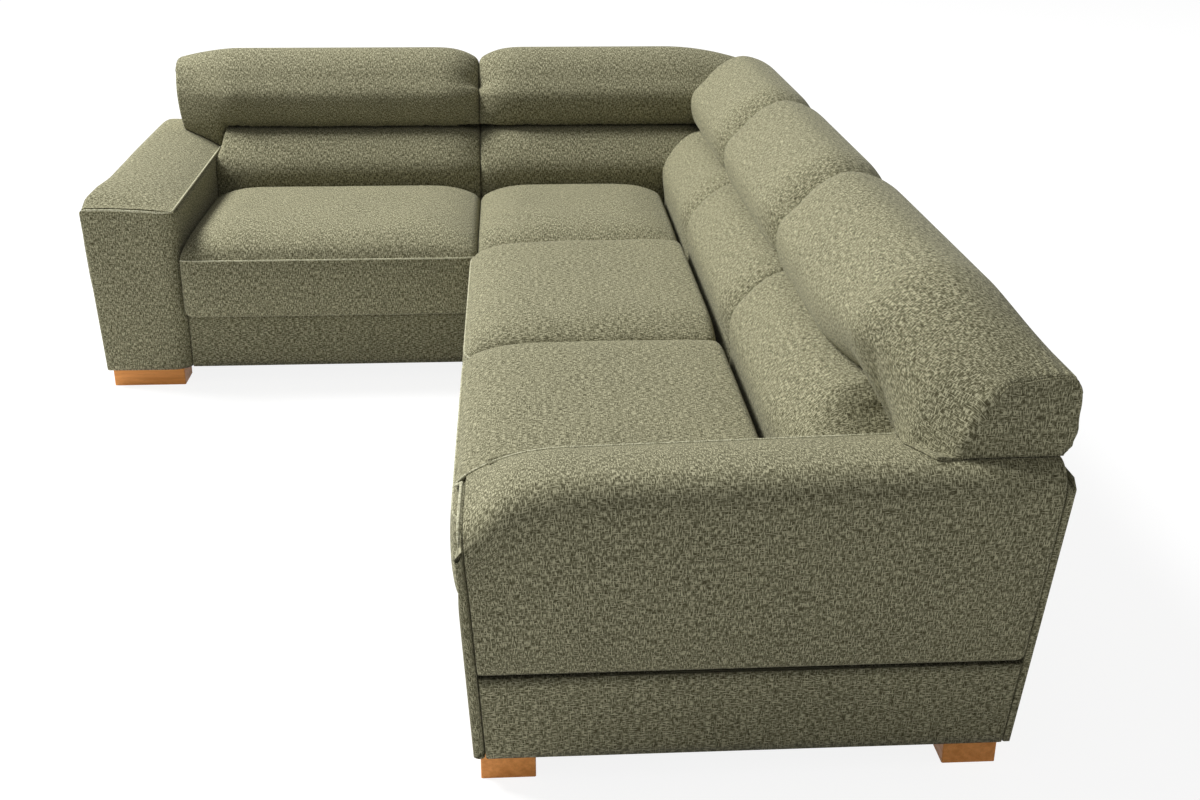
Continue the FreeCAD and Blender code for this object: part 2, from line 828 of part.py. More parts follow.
def make_feet():
    for name, (wing, along, deep) in foot_spots().items():
        make_foot(name, wing, along, deep)
    legs = []
    for count, (wing, along, deep) in enumerate(leg_spots(), start=1):
        leg = doc.addObject("Part::Cone", f"support_leg_{count}")
        leg.setExpression("Radius1", "Sizes.leg_radius * 0.8")
        leg.setExpression("Radius2", "Sizes.leg_radius")
        leg.setExpression("Height", "Sizes.foot_tall")
        x, y = swap(wing, along, deep)
        leg.setExpression("Placement.Base.x", f"{x} - Layout.centre_x")
        leg.setExpression("Placement.Base.y", f"{y} - Layout.centre_y")
        legs.append(bored(leg, f"support_leg_{count}_bored"))
    group("hidden_support_legs", legs)


# Base frames, decks, dust covers and rail panels


def make_rail_panels():
    """Upholstered boards under the front edge of the seats."""
    front = "Sizes.rail_recess"
    tall = ("Sizes.foot_tall", "Sizes.seat_under")
    left = block("left_front_rail_panel", "left", ("Layout.left_arm_in", front),
                 (front, "Layout.rail_front"), tall)
    keep(left, left.Name)
    right = block("right_front_rail_panel", "right", ("Layout.near_arm_in", "Layout.rail_front"),
                  (front, "Layout.rail_front"), tall)
    keep(right, right.Name)


def corner_blocks(label, wing, spots):
    """Bored timber blocks above the hidden legs."""
    blocks = []
    for count, (along, deep) in enumerate(spots, start=1):
        timber = block(f"{label}_leg_block_{count}", wing, (f"{along} - 45", f"{along} + 45"),
                       (f"{deep} - 45", f"{deep} + 45"), ("Layout.frame_under", "Layout.frame_under + 40"))
        blocks.append(bored(timber, f"{label}_leg_block_{count}_bored"))
    return blocks


def make_base_frame(label, wing, low, high, blocks, middle=None):
    """Front, seat, rear and side rails of one module, with its leg blocks."""
    thick = "Sizes.rail_thick"
    front = "Layout.rail_front"
    rear = "Layout.rear_rail_back"
    tall = ("Layout.frame_under", "Layout.rail_top")
    inside = (f"{front} + {thick}", f"{rear} - {thick}")
    rails = [
        block(f"{label}_front_rail", wing, (low, high), (front, f"{front} + {thick}"), tall),
        block(f"{label}_rear_rail", wing, (low, high), (f"{rear} - {thick}", rear), tall),
        block(f"{label}_side_rail_1", wing, (low, f"{low} + {thick}"), inside, tall),
        block(f"{label}_side_rail_2", wing, (f"{high} - {thick}", high), inside, tall),
    ]
    stops = [f"{low} + {thick}", f"{high} - {thick}"]
    if middle is not None:
        span = (middle, f"{middle} + {thick}")
        rails.append(block(f"{label}_middle_rail", wing, span, inside, tall))
        stops = [stops[0], span[0], span[1], stops[1]]
    seat = ("Layout.seat_rail_back - Sizes.rail_thick", "Layout.seat_rail_back")
    for count in range(0, len(stops), 2):
        rails.append(block(f"{label}_seat_rail_{count}", wing, (stops[count], stops[count + 1]), seat, tall))
    group(f"{label}_base_frame", rails + corner_blocks(label, wing, blocks))


def make_base_frames():
    join = "Layout.module_join"
    spots = leg_spots()
    make_base_frame("left", "left", "Layout.left_arm_in", join, [spots[0][1:], spots[1][1:]])
    far = "Layout.rear_rail_back"
    foot = foot_spots()["corner_rear_foot"]
    rear_block = (f"{far} - Sizes.rail_thick - 45", f"{foot[2]} + Sizes.foot_deep / 2")
    make_base_frame("corner", "left", join, far, [spots[2][1:], rear_block])
    make_base_frame("right", "right", "Layout.near_arm_in", join,
                    [spot_text[1:] for spot_text in spots[3:]], "Layout.seat_split")


def make_decks():
    """Deck cloth on felt over each module's springs, and the dust cover under its frame."""
    back = "Layout.deck_back"
    front = "Layout.rail_front"
    join = "Layout.module_join"
    tall = ("Layout.deck_under", "Sizes.seat_under")
    spans = {
        "left": ("left", "Layout.left_arm_in", join, back),
        "corner": ("left", join, back, back),
        "right": ("right", "Layout.near_arm_in", join, back),
    }
    for label, (wing, low, high, deep) in spans.items():
        deck = block(f"{label}_seat_deck", wing, (low, high), (front, deep), tall)
        keep(deck, deck.Name)
    shy = "Sizes.arm_pad_thick"
    rear = "Layout.rear_rail_back"
    low_spans = {
        "left": ("left", f"Layout.left_arm_out + {shy}", join, "Sizes.facing_wrap"),
        "corner": ("left", join, rear, front),
        "right": ("right", f"Layout.near_arm_out + {shy}", join, "Sizes.facing_wrap"),
    }
    for label, (wing, low, high, deep) in low_spans.items():
        cover = block(f"{label}_dust_sheet", wing, (low, high), (deep, rear),
                      ("Sizes.foot_tall", "Layout.frame_under"))
        part = bored(cover, f"{label}_dust_cover")
        keep(part, part.Name)


# Springs


def spring_shape(wing, along, front, back):
    """Zigzag wire from the front rail to the seat rail: straight bars joined by quarter bends."""
    half = size("spring_half_wide")
    level = at("rail_top") + size("clip_wall") + size("wire_radius")
    turns = 2 * max(1, round((back - front) / (2 * PITCH_OF_TURNS)))
    step = (back - front) / turns
    bend = step / 2
    side = 1
    edges = []
    here = (along - half, front)
    for count in range(turns):
        bar_end = (along + side * (half - bend), front + count * step)
        edges.append(Part.LineSegment(spot(wing, *here, level), spot(wing, *bar_end, level)).toShape())
        centre = (bar_end[0], bar_end[1] + bend)
        rim = (centre[0] + side * bend, centre[1])
        slant = bend * math.sqrt(0.5)
        first = (centre[0] + side * slant, centre[1] - slant)
        second = (centre[0] + side * slant, centre[1] + slant)
        far = (centre[0], centre[1] + bend)
        corners = [spot(wing, *place, level) for place in (bar_end, first, rim, second, far)]
        edges.append(Part.Arc(corners[0], corners[1], corners[2]).toShape())
        edges.append(Part.Arc(corners[2], corners[3], corners[4]).toShape())
        here = far
        side = -side
    bar_end = (along + side * half, back)
    edges.append(Part.LineSegment(spot(wing, *here, level), spot(wing, *bar_end, level)).toShape())
    path = Part.Wire(edges)
    start = path.Edges[0].Vertexes[0].Point
    heading = path.Edges[0].tangentAt(path.Edges[0].FirstParameter)
    ring = Part.Wire(Part.makeCircle(size("wire_radius"), start, heading))
    return path.makePipeShell([ring], True, False)


CLIP_WIDE = 16
CLIP_DEEP = 12


def clip_shape(wing, along, deep):
    """Steel clip that holds a spring's end bar on its rail."""
    low = at("rail_top")
    tall = at("deck_under") - low
    level = low + size("clip_wall") + size("wire_radius")
    corner = spot(wing, along - CLIP_WIDE / 2, deep - CLIP_DEEP / 2, low)
    far = spot(wing, along + CLIP_WIDE / 2, deep + CLIP_DEEP / 2, low + tall)
    spread = far - corner
    body = Part.makeBox(spread.x, spread.y, spread.z, corner)
    start = spot(wing, along - CLIP_WIDE, deep, level)
    along_bar = spot(wing, along + CLIP_WIDE, deep, level) - start
    return body.cut(Part.makeCylinder(size("wire_radius"), along_bar.Length, start, along_bar))


def make_springs():
    """Zigzag springs under every seat, and the clips at both ends of each."""
    pitch = size("spring_pitch")
    front = at("rail_front") + size("rail_thick") / 2
    back = at("seat_rail_back") - size("rail_thick") / 2
    centres = {
        "left": ("left", [(at("left_arm_in") + at("module_join")) / 2]),
        "corner": ("left", [(at("module_join") + at("deck_back")) / 2]),
        "right": ("right", [(at("near_arm_in") + at("seat_split")) / 2,
                            (at("seat_split") + at("module_join")) / 2 + 15]),
    }
    aside = size("spring_half_wide") / 3
    clips = []
    for label, (wing, middles) in centres.items():
        springs = []
        for middle in middles:
            for count in range(SPRINGS_PER_SEAT):
                along = middle + (count - (SPRINGS_PER_SEAT - 1) / 2) * pitch
                springs.append(spring_shape(wing, along, front, back))
                clips.append(clip_shape(wing, along - aside, front))
                clips.append(clip_shape(wing, along + aside, back))
        keep(solid(f"{label}_seat_springs", Part.makeCompound(springs)), f"{label}_seat_springs")
    keep(solid("spring_clips", Part.makeCompound(clips)), "spring_clips")


# Back frames, webbing and outer panels


def make_back_frame(label, wing, low, high, posts, board_spans):
    """Posts on the base frame, a level plank on them and the pillow boards on the plank."""
    thick = "Sizes.rail_thick"
    base = "Layout.rail_top"
    plank_low = "Layout.plank_top - Sizes.board_thick"
    front_low = f"Sizes.back_frame_front + ({base} - Sizes.seat_under) * Layout.tilt_slope"
    front_top = f"Sizes.back_frame_front + ({plank_low} - Sizes.seat_under) * Layout.tilt_slope"
    rear = "Sizes.base_deep - Sizes.back_panel_thick"
    rear_low = f"{rear} + ({base} - Sizes.foot_tall) * Layout.rear_slope"
    rear_top = f"{rear} + ({plank_low} - Sizes.foot_tall) * Layout.rear_slope - 12"
    parts = []
    for count, place in enumerate(posts, start=1):
        span = (place, f"{place} + {thick}")
        parts.append(leaning(f"{label}_post_{count}", wing, (base, plank_low),
                             span, (front_low, f"{rear_low} - 12"), span, (front_top, rear_top)))
    parts.append(block(f"{label}_plank", wing, (low, high), (front_top, rear_top),
                       (plank_low, "Layout.plank_top")))
    for count, (start, end) in enumerate(board_spans, start=1):
        parts.append(solid(f"{label}_pillow_board_{count}", pillow_board(wing, start, end)))
    return group(f"{label}_back_frame", parts)


def board_plan():
    """Where each pillow's board starts and ends along its wing."""
    join = -size("cushion_join")
    return {
        "left": ("left", at("left_arm_in") + 40, join - 40),
        "corner_left": ("left", at("module_join") + 20, 700),
        "corner_right": ("right", at("module_join") + 20, 600),
        "middle": ("right", at("seat_split") + 40, join - 40),
        "near": ("right", at("near_arm_in") + 40, at("seat_split") - 40),
    }


def make_back_frames():
    """Frames behind the pads, by the wing and module that they stand on."""
    boards = board_plan()
    join = "Layout.module_join"
    thick = "Sizes.rail_thick"
    end = f"{join} - {thick}"
    far = "Layout.rear_rail_back"
    stop = "Sizes.back_frame_front - 2"
    plans = {
        "left": ("left", "Layout.left_arm_in", join, ["Layout.left_arm_in", end], ["left"]),
        "corner_left": ("left", join, far, [join, f"{far} - {thick}"], ["corner_left"]),
        "corner_right": ("right", join, stop, [join, f"{stop} - {thick}"], ["corner_right"]),
        "right": ("right", "Layout.near_arm_in", join,
                  ["Layout.near_arm_in", "Layout.seat_split", end], ["middle", "near"]),
    }
    frames = {}
    for label, (wing, low, high, posts, held) in plans.items():
        spans = [boards[name][1:] for name in held]
        frames[label] = make_back_frame(label, wing, low, high, posts, spans)
    doc.recompute()
    return frames


STRAP_LEVELS = [290, 400, 510]


def strap(wing, low, high, tall):
    """Elastic strap across the front of the posts, in their tilted plane."""
    wide = size("webbing_wide")
    thick = size("webbing_thick")
    bottom = frame_front(tall)
    top = frame_front(tall + wide)
    profile = [(bottom, tall), (top, tall + wide), (top + thick, tall + wide), (bottom + thick, tall)]
    return prism_across(wing, low, high, profile)


def make_webbing():
    """Straps behind all the lumbar pads."""
    join = at("module_join")
    spans = [
        ("left", at("left_arm_in"), join),
        ("left", join, at("rear_rail_back")),
        ("right", at("near_arm_in"), join),
        ("right", join, size("back_frame_front")),
    ]
    straps = [strap(wing, low, high, tall) for wing, low, high in spans for tall in STRAP_LEVELS]
    keep(solid("back_webbing", Part.makeCompound(straps)), "back_webbing")


def arm_corner(wing, inner):
    """Prism outside an arm's shoulder, which rounds the top corner of the panel behind it."""
    wide = size("arm_wide") + size("side_lean")
    rear = size("base_deep")
    seam = size("arm_seam_tall") + size("arm_seam_rise")
    top = size("pillow_tall")
    crest, shoulder = shoulder_arc(wide, seam + size("arm_crown"))
    path = [crest, shoulder, (wide, seam - 190), (2 * wide, seam - 190), (2 * wide, top), (crest[0], top)]
    wire = outline(lambda across, tall: arm_point(wing, inner, across, rear / 2, tall), path)
    inward = arm_point(wing, inner, 0, rear, 0) - arm_point(wing, inner, 0, 0, 0)
    return Part.Face(wire).extrude(inward)


def make_back_panels():
    """Raked outer panels behind the frames."""
    low = "Sizes.foot_tall"
    high = "Sizes.back_panel_tall"
    rake = f"({high} - {low}) * Layout.rear_slope"
    side = "Sizes.side_lean"
    rear = "Sizes.base_deep"
    thick = "Sizes.back_panel_thick"
    join = "Layout.module_join"
    deep = (f"{rear} - {thick}", rear)
    deep_top = (f"{rear} - {thick} + {rake}", f"{rear} + {rake}")
    plans = {
        "left_outer_back_panel": ("left", ("Layout.left_arm_out", join),
                                  (f"Layout.left_arm_out - {side}", join)),
        "corner_left_outer_back_panel": ("left", (join, rear), (join, f"{rear} + {rake}")),
        "corner_right_outer_back_panel": ("right", (join, f"{rear} - {thick}"),
                                          (join, f"{rear} - {thick} + {rake}")),
        "right_outer_back_panel": ("right", ("Layout.near_arm_out", join),
                                   (f"Layout.near_arm_out - {side}", join)),
    }
    arms = {"left_outer_back_panel": "left_arm_in", "right_outer_back_panel": "near_arm_in"}
    panels = {}
    for name, (wing, along, along_top) in plans.items():
        if name in arms:
            panel = doc.addObject("Part::Cut", name)
            panel.Base = leaning(f"{name}_board", wing, (low, high), along, deep, along_top, deep_top)
            panel.Tool = solid(f"{name}_corner", arm_corner(wing, at(arms[name])))
        else:
            panel = leaning(name, wing, (low, high), along, deep, along_top, deep_top)
        panels[name] = keep(panel, name)
    doc.recompute()
    return panels


# Module brackets


BRACKET_WIDE = 60
BRACKET_LONG = 70
TONGUE_WIDE = 30
TONGUE_LONG = 22
TONGUE_PLAY = 0.5


def bracket_pair(wing, deep):
    """Plate with a tongue and plate with its slot, under the dust covers across a module joint."""
    join = at("module_join")
    thick = size("bracket_thick")
    level = size("foot_tall") - thick

    def plate(low, high, wide):
        corner = spot(wing, low, deep - wide / 2, level)
        spread = spot(wing, high, deep + wide / 2, level + thick) - corner
        return Part.makeBox(spread.x, spread.y, spread.z, corner)

    tongue = plate(join - BRACKET_LONG, join, BRACKET_WIDE).fuse(plate(join, join + TONGUE_LONG, TONGUE_WIDE))
    mouth = plate(join, join + TONGUE_LONG + TONGUE_PLAY, TONGUE_WIDE + 2 * TONGUE_PLAY)
    slot = plate(join, join + BRACKET_LONG, BRACKET_WIDE).cut(mouth)
    return [tongue.removeSplitter(), slot]


def make_brackets():
    front = at("rail_front") + 190
    rear = at("rear_rail_back") - 190
    plates = []
    for wing in ("left", "right"):
        for deep in (front, rear):
            plates.extend(bracket_pair(wing, deep))
    keep(solid("module_brackets", Part.makeCompound(plates)), "module_brackets")


# Assembly


def make_backs(arm_pads, frames, panels):
    """Lumbar pads and pillows; the right corner pair ends against the left corner pair."""
    join = -size("cushion_join")
    split = at("seat_split")
    left_in = at("left_arm_in")
    near_in = at("near_arm_in")
    corner_end = size("back_frame_front") - size("webbing_thick") - 2
    left = make_lumbar("left", "left", left_in, join)
    left_corner = make_lumbar("corner_left", "left", join, corner_end)
    make_lumbar("corner_right", "right", join, size("crease_deep"), left_corner.Shape)
    make_lumbar("middle", "right", split, join)
    near = make_lumbar("near", "right", near_in, split)

    over = size("left_pillow_over_arm")
    make_pillow("left", "left", left_in - over, join, over,
                [arm_pads["left"], left.Shape, frames["left"].Shape, panels["left_outer_back_panel"].Shape])
    far = size("pillow_rear") - size("pillow_end_short")
    left_pillow = make_pillow("corner_left", "left", join, far, 0,
                              [frames["corner_left"].Shape], CORNER_END_REACH)
    make_pillow("corner_right", "right", join, CORNER_PILLOW_STOP, 0,
                [left_pillow.Shape, frames["corner_right"].Shape])
    make_pillow("middle", "right", split, join, 0, [frames["right"].Shape])
    over = size("near_pillow_over_arm")
    make_pillow("near", "right", near_in - over, split, over,
                [arm_pads["near"], near.Shape, frames["right"].Shape, panels["right_outer_back_panel"].Shape])


def make_arms():
    pads = {}
    for label, wing, inner_name in (("left", "left", "left_arm_in"), ("near", "right", "near_arm_in")):
        inner = at(inner_name)
        facing = make_arm_facing(label, wing, inner)
        pads[label] = make_arm_pad(label, wing, inner, facing)
        make_arm_inner(label, wing, inner)
        make_arm_base_panel(label, wing, inner_name)
        make_arm_frame(label, wing, inner_name)
    return pads


def check_and_export():
    """Stop on a failed object or a bad shape, then write one file for every node."""
    doc.recompute()
    for part in doc.Objects:
        if "Invalid" in part.State or "Error" in part.State:
            raise RuntimeError(f"{part.Name} failed: {part.State}")
    os.makedirs("parts", exist_ok=True)
    total = FreeCAD.BoundBox()
    for part in nodes:
        shape = part.Shape
        if shape.isNull() or not shape.isValid() or shape.Volume <= 0:
            raise RuntimeError(f"{part.Label} has no sound shape")
        total.add(shape.BoundBox)
        shape.exportStep(f"parts/{part.Label}.step")
        print(f"{part.Label}: {len(shape.Solids)} solid(s), {shape.Volume / 1e6:.3f} litres")
    print(f"{len(nodes)} nodes")
    print(f"X {total.XMin:.1f} to {total.XMax:.1f}, Y {total.YMin:.1f} to {total.YMax:.1f}, "
          f"Z {total.ZMin:.1f} to {total.ZMax:.1f}")


bolt_holes = make_bolt_holes()
make_seats()
arm_pads = make_arms()
back_frames = make_back_frames()
back_panels = make_back_panels()
make_backs(arm_pads, back_frames, back_panels)
make_webbing()
make_rail_panels()
make_base_frames()
make_decks()
make_springs()
make_feet()
make_bolts()
make_brackets()
check_and_export()
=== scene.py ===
# %% [markdown]
# # Corner sofa, dressed
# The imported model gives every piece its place. This script gives the sofa its looks: puffed
# cushions, gathered backs, upholstered panels, oak feet, then light and camera.

# %% Load the frame
import math

import bpy
import numpy as np
from mathutils import Matrix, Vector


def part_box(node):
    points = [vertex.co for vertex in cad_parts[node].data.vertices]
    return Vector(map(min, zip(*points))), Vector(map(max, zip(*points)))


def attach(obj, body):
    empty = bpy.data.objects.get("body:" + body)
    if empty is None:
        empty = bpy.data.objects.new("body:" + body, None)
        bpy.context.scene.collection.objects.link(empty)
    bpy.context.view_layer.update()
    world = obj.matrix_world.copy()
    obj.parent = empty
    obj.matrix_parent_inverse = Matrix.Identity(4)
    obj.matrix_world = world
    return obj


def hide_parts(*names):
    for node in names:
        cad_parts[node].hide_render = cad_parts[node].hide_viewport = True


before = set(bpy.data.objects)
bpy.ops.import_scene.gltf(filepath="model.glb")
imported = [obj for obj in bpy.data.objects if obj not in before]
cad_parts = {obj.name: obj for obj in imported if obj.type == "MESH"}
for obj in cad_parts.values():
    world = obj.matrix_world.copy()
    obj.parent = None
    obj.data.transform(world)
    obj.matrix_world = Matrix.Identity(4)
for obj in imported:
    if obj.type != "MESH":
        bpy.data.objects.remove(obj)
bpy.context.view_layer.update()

# %% [markdown]
# ## Places on the two wings
# The sofa is one L with two wings that are mirror images over the corner's diagonal. Each pad
# could be drawn twice in world coordinates, once for each wing. Three numbers are shorter: along
# its wing, deep from front to back, and tall. Counted from the inner corner of the floor plan,
# they let one function serve both wings.

# %% Wing coordinates
GAP = 0.0004
JOIN = 0.020
left_seat_low, left_seat_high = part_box("left_seat_cover")
middle_seat_low, middle_seat_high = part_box("middle_seat_cover")
near_seat_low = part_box("near_seat_cover")[0]
INNER_CORNER = (left_seat_high[0] + GAP + JOIN, middle_seat_high[1] + GAP + JOIN)
LEFT_ARM_IN = left_seat_low[0] - GAP - INNER_CORNER[0]
NEAR_ARM_IN = near_seat_low[1] - GAP - INNER_CORNER[1]
SEAT_SPLIT = middle_seat_low[1] - GAP - INNER_CORNER[1]
print("inner corner", [round(value, 4) for value in INNER_CORNER])
print("inner faces of the arms", round(LEFT_ARM_IN, 4), round(NEAR_ARM_IN, 4))


def place(wing, along, deep, tall):
    """Points of the sofa: the left wing runs along X and is deep in Y, the right wing is swapped."""
    x, y = (along, deep) if wing == "left" else (deep, along)
    spread = np.broadcast_arrays(x + INNER_CORNER[0], y + INNER_CORNER[1], tall)
    return np.stack(spread, axis=-1)


def along_axis(wing):
    """Number of the coordinate that runs along a wing."""
    return 0 if wing == "left" else 1


def box_span(name, wing):
    """Along, deep and tall limits of a node in wing coordinates."""
    low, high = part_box(name)
    low = np.array(low) - np.array([*INNER_CORNER, 0])
    high = np.array(high) - np.array([*INNER_CORNER, 0])
    if wing == "right":
        low, high = low[[1, 0, 2]], high[[1, 0, 2]]
    return low, high


# %% [markdown]
# ## Closed skins from stacked rings
# Every soft piece is a closed bag of cloth. It could be modelled from a box with subdivision, but
# its seams would drift with every change. Here it is a stack of closed rings with a pole at each
# end. The rings are rows of one array, so faces and texture coordinates come from index
# arithmetic, and the sign of the enclosed volume tells which way the faces must turn.

# %% Mesh from rings
def enclosed_volume(points, faces):
    """Sum over a fan of triangles of the triple product, over six: positive if faces look out."""
    first, second, third, fourth = (points[faces[:, k]] for k in range(4))
    halves = np.cross(second, third) + np.cross(third, fourth)
    return float(np.einsum("ij,ij->", first, halves) / 6)


def new_object(name, data):
    """Object made from its data and linked to the scene."""
    made = bpy.data.objects.new(name, data)
    bpy.context.scene.collection.objects.link(made)
    return made

# %% Faces and texture coordinates of a ring stack
def ring_faces(rows, columns):
    """Quads between neighbouring rings, and a fan of triangles at each end to a pole.

    The poles are numbered after the last ring.
    """
    row = np.arange(rows - 1)[:, None] * columns
    column = np.arange(columns)[None, :]
    beside = (column + 1) % columns
    corners = [row + column, row + beside, row + columns + beside, row + columns + column]
    quads = np.stack(corners, axis=-1).reshape(-1, 4)
    pole = rows * columns
    last = pole - columns
    fan_low = np.stack([np.full(columns, pole), beside[0], column[0]], axis=-1)
    fan_high = np.stack([np.full(columns, pole + 1), last + column[0], last + beside[0]], axis=-1)
    return quads, np.vstack([fan_low, fan_high])


def ring_uv(rings):
    """Texture coordinates of the quads, in metres.

    u is the running sum of the mean step from ring to ring. v is the running sum of the widest
    step from column to column.
    """
    steps = np.linalg.norm(np.diff(rings, axis=0), axis=2).mean(axis=1)
    girth = np.linalg.norm(np.roll(rings, -1, axis=1) - rings, axis=2).max(axis=0)
    u = np.concatenate([[0], np.cumsum(steps)])[:, None]
    v = np.concatenate([[0], np.cumsum(girth)])[None, :]
    corners = [(u[:-1], v[:, :-1]), (u[:-1], v[:, 1:]), (u[1:], v[:, 1:]), (u[1:], v[:, :-1])]
    pairs = [np.stack(np.broadcast_arrays(*corner), axis=-1) for corner in corners]
    return np.stack(pairs, axis=2).reshape(-1, 4, 2)

# %% Skin
def skin(name, rings, caps=0, turn_uv=False):
    """Closed mesh through rings[row, column]; the first and the last caps rows are end panels.

    Texture coordinates run along the stack and round the ring, or lie flat on an end panel.
    """
    rows, columns, _ = rings.shape
    poles = np.stack([rings[0].mean(axis=0), rings[-1].mean(axis=0)])
    points = np.vstack([rings.reshape(-1, 3), poles])
    quads, fans = ring_faces(rows, columns)
    spread = points.max(axis=0) - points.min(axis=0)
    planar = points[:, [1 if spread[0] > spread[1] else 0, 2]]
    row = np.arange(rows - 1)
    on_panel = np.repeat((row < caps) | (row >= rows - 1 - caps), columns)
    quad_uv = ring_uv(rings)
    quad_uv[on_panel] = planar[quads[on_panel]]
    if turn_uv:
        quad_uv[~on_panel] = quad_uv[~on_panel][:, :, ::-1]
    fan_uv = planar[fans]
    if enclosed_volume(points, quads) < 0:
        quads, quad_uv, fans, fan_uv = (part[:, ::-1] for part in (quads, quad_uv, fans, fan_uv))

    mesh = bpy.data.meshes.new(name)
    mesh.from_pydata(points, [], quads.tolist() + fans.tolist())
    layer = mesh.uv_layers.new(name="UVMap")
    loops = np.concatenate([quad_uv.reshape(-1, 2), fan_uv.reshape(-1, 2)])
    layer.data.foreach_set("uv", loops.ravel())
    mesh.polygons.foreach_set("use_smooth", np.ones(len(mesh.polygons), dtype=bool))
    mesh.update()
    return new_object(name, mesh)

# %% Directions out of a skin
def surface_normals(rings):
    """Outward unit vectors: cross product of the differences along rows and round columns."""
    down = np.gradient(rings, axis=0)
    around = np.roll(rings, -1, axis=1) - np.roll(rings, 1, axis=1)
    normal = np.cross(down, around)
    normal /= np.linalg.norm(normal, axis=2, keepdims=True) + 1e-12
    middle = rings[len(rings) // 2]
    outward = middle - middle.mean(axis=0)
    sign = np.sign(np.sum(normal[len(rings) // 2] * outward))
    return normal * sign


# %% [markdown]
# ## Smooth sections
# A pad's section is drawn with a few control points. A Bezier curve object could carry it, but
# its points couldn't change along the pad. Catmull-Rom cubics run a smooth curve through the
# points, and a corner, such as a seam, takes its tangent from one side only. Written as a matrix
# of weights, the same curve serves every row of a pad: section = weights @ controls.

# %% Section weights
def span_weights(count, corners, samples):
    """Catmull-Rom weights of evenly spaced samples in each span, with one-sided ends at corners."""
    step = np.linspace(0, 1, samples, endpoint=False)[:, None]
    before = -0.5 * step + step ** 2 - 0.5 * step ** 3
    start = 1 - 2.5 * step ** 2 + 1.5 * step ** 3
    end = 0.5 * step + 2 * step ** 2 - 1.5 * step ** 3
    after = -0.5 * step ** 2 + 0.5 * step ** 3
    unit = np.eye(count)
    blocks = []
    for span in range(count):
        here, there = unit[span], unit[(span + 1) % count]
        previous = 2 * here - there if span in corners else unit[span - 1]
        following = (span + 1) % count
        beyond = 2 * there - here if following in corners else unit[(span + 2) % count]
        blocks.append(before * previous + start * here + end * there + after * beyond)
    return np.stack(blocks)

# %% Points along a curve
def ring_weights(controls, corners, spacing):
    """Weights of points spaced evenly along the curve between corners, so seams stay on a column.

    Returns the weights and the column of each corner.
    """
    fine = span_weights(len(controls), set(corners), 40)
    per_span = fine.shape[1]
    rows = fine.reshape(-1, len(controls))
    stops = sorted(corners) or [0]
    columns = []
    chosen = []
    for start, end in zip(stops, stops[1:] + [stops[0] + len(controls)]):
        index = np.arange(start * per_span, end * per_span + 1) % len(rows)
        stretch = rows[index]
        drawn = stretch @ controls
        run = np.concatenate([[0], np.cumsum(np.linalg.norm(np.diff(drawn, axis=0), axis=1))])
        pieces = max(1, round(run[-1] / spacing))
        places = np.interp(np.linspace(0, run[-1], pieces, endpoint=False), run, np.arange(len(run)))
        low = np.floor(places).astype(int)
        share = (places - low)[:, None]
        columns.append(sum(len(block) for block in chosen))
        chosen.append(stretch[low] * (1 - share) + stretch[low + 1] * share)
    return np.vstack(chosen), dict(zip(stops, columns))


def stacked(points):
    """Control points as one array [row, point, coordinate], with numbers spread over all rows."""
    values = np.broadcast_arrays(*[value for pair in points for value in pair])
    return np.stack(values, axis=-1).reshape(-1, len(points), 2)


def swept(weights, controls):
    """Sections of all rows: the weights of each column times the control points of each row."""
    return np.einsum("vc,ucd->uvd", weights, controls)


# %% [markdown]
# ## Ends of a pad
# Towards an end a stuffed pad loses fullness over a hand's breadth. Then its edge rolls over a
# quarter circle into a flat end panel. A bevel on a plain extrusion would round the edge but keep
# the pad full, so the rows are worked out instead, close together in the roll, where the shape
# turns fastest.

# %% Rows along a pad
CAP_SHRINK = np.array([0.12, 0.35, 0.6, 0.82])
CAP_ROWS = len(CAP_SHRINK)
ROLL_STEPS = 7
SPACING = 0.0065


def fullness(distance, reach):
    """0 at a pad's end and 1 from reach inwards: one less the cube of the missing share."""
    return 1 - (1 - np.clip(distance / reach, 0, 1)) ** 3


def ramp(value, start, end):
    """0 up to start, 1 from end on, and straight between; it runs downwards if end is lower."""
    return np.clip((value - start) / (end - start), 0, 1)


def smooth(share):
    """Share from 0 to 1 with level ends: three squares less two cubes."""
    return share * share * (3 - 2 * share)


def end_rows(steps, body):
    """Roll angle and cap shrink of all rows: cap, roll, body rows, roll and cap."""
    angle = np.linspace(0, math.pi / 2, steps)
    cap = np.zeros(CAP_ROWS)
    turned = np.concatenate([cap, angle, np.full(body, math.pi / 2), angle[::-1], cap])
    shrink = np.concatenate([CAP_SHRINK, np.ones(2 * steps + body), CAP_SHRINK[::-1]])
    return turned, shrink


def end_shares(steps, body):
    """Share of the way along for all rows: 0 in the low cap and roll, 1 in the high ones."""
    even = np.linspace(0, 1, body + 2)[1:-1]
    return np.concatenate([np.zeros(CAP_ROWS + steps), even, np.ones(CAP_ROWS + steps)])

# %% Surface of a pad
def draw_in(section, spine, distance, shrink):
    """Sections pulled towards a spine: each point moves the given distance nearer to the nearest
    spine point, then what is left is scaled by shrink.
    """
    foot, head = np.array(spine[0]), np.array(spine[1])
    run = head - foot
    share = np.clip((section - foot) @ run / (run @ run), 0, 1)[..., None]
    nearest = foot + share * run
    away = section - nearest
    span = np.linalg.norm(away, axis=-1, keepdims=True) + 1e-9
    kept = np.clip(1 - distance[..., None] / span, 0.05, 1)
    return nearest + away * kept * shrink[:, None, None]


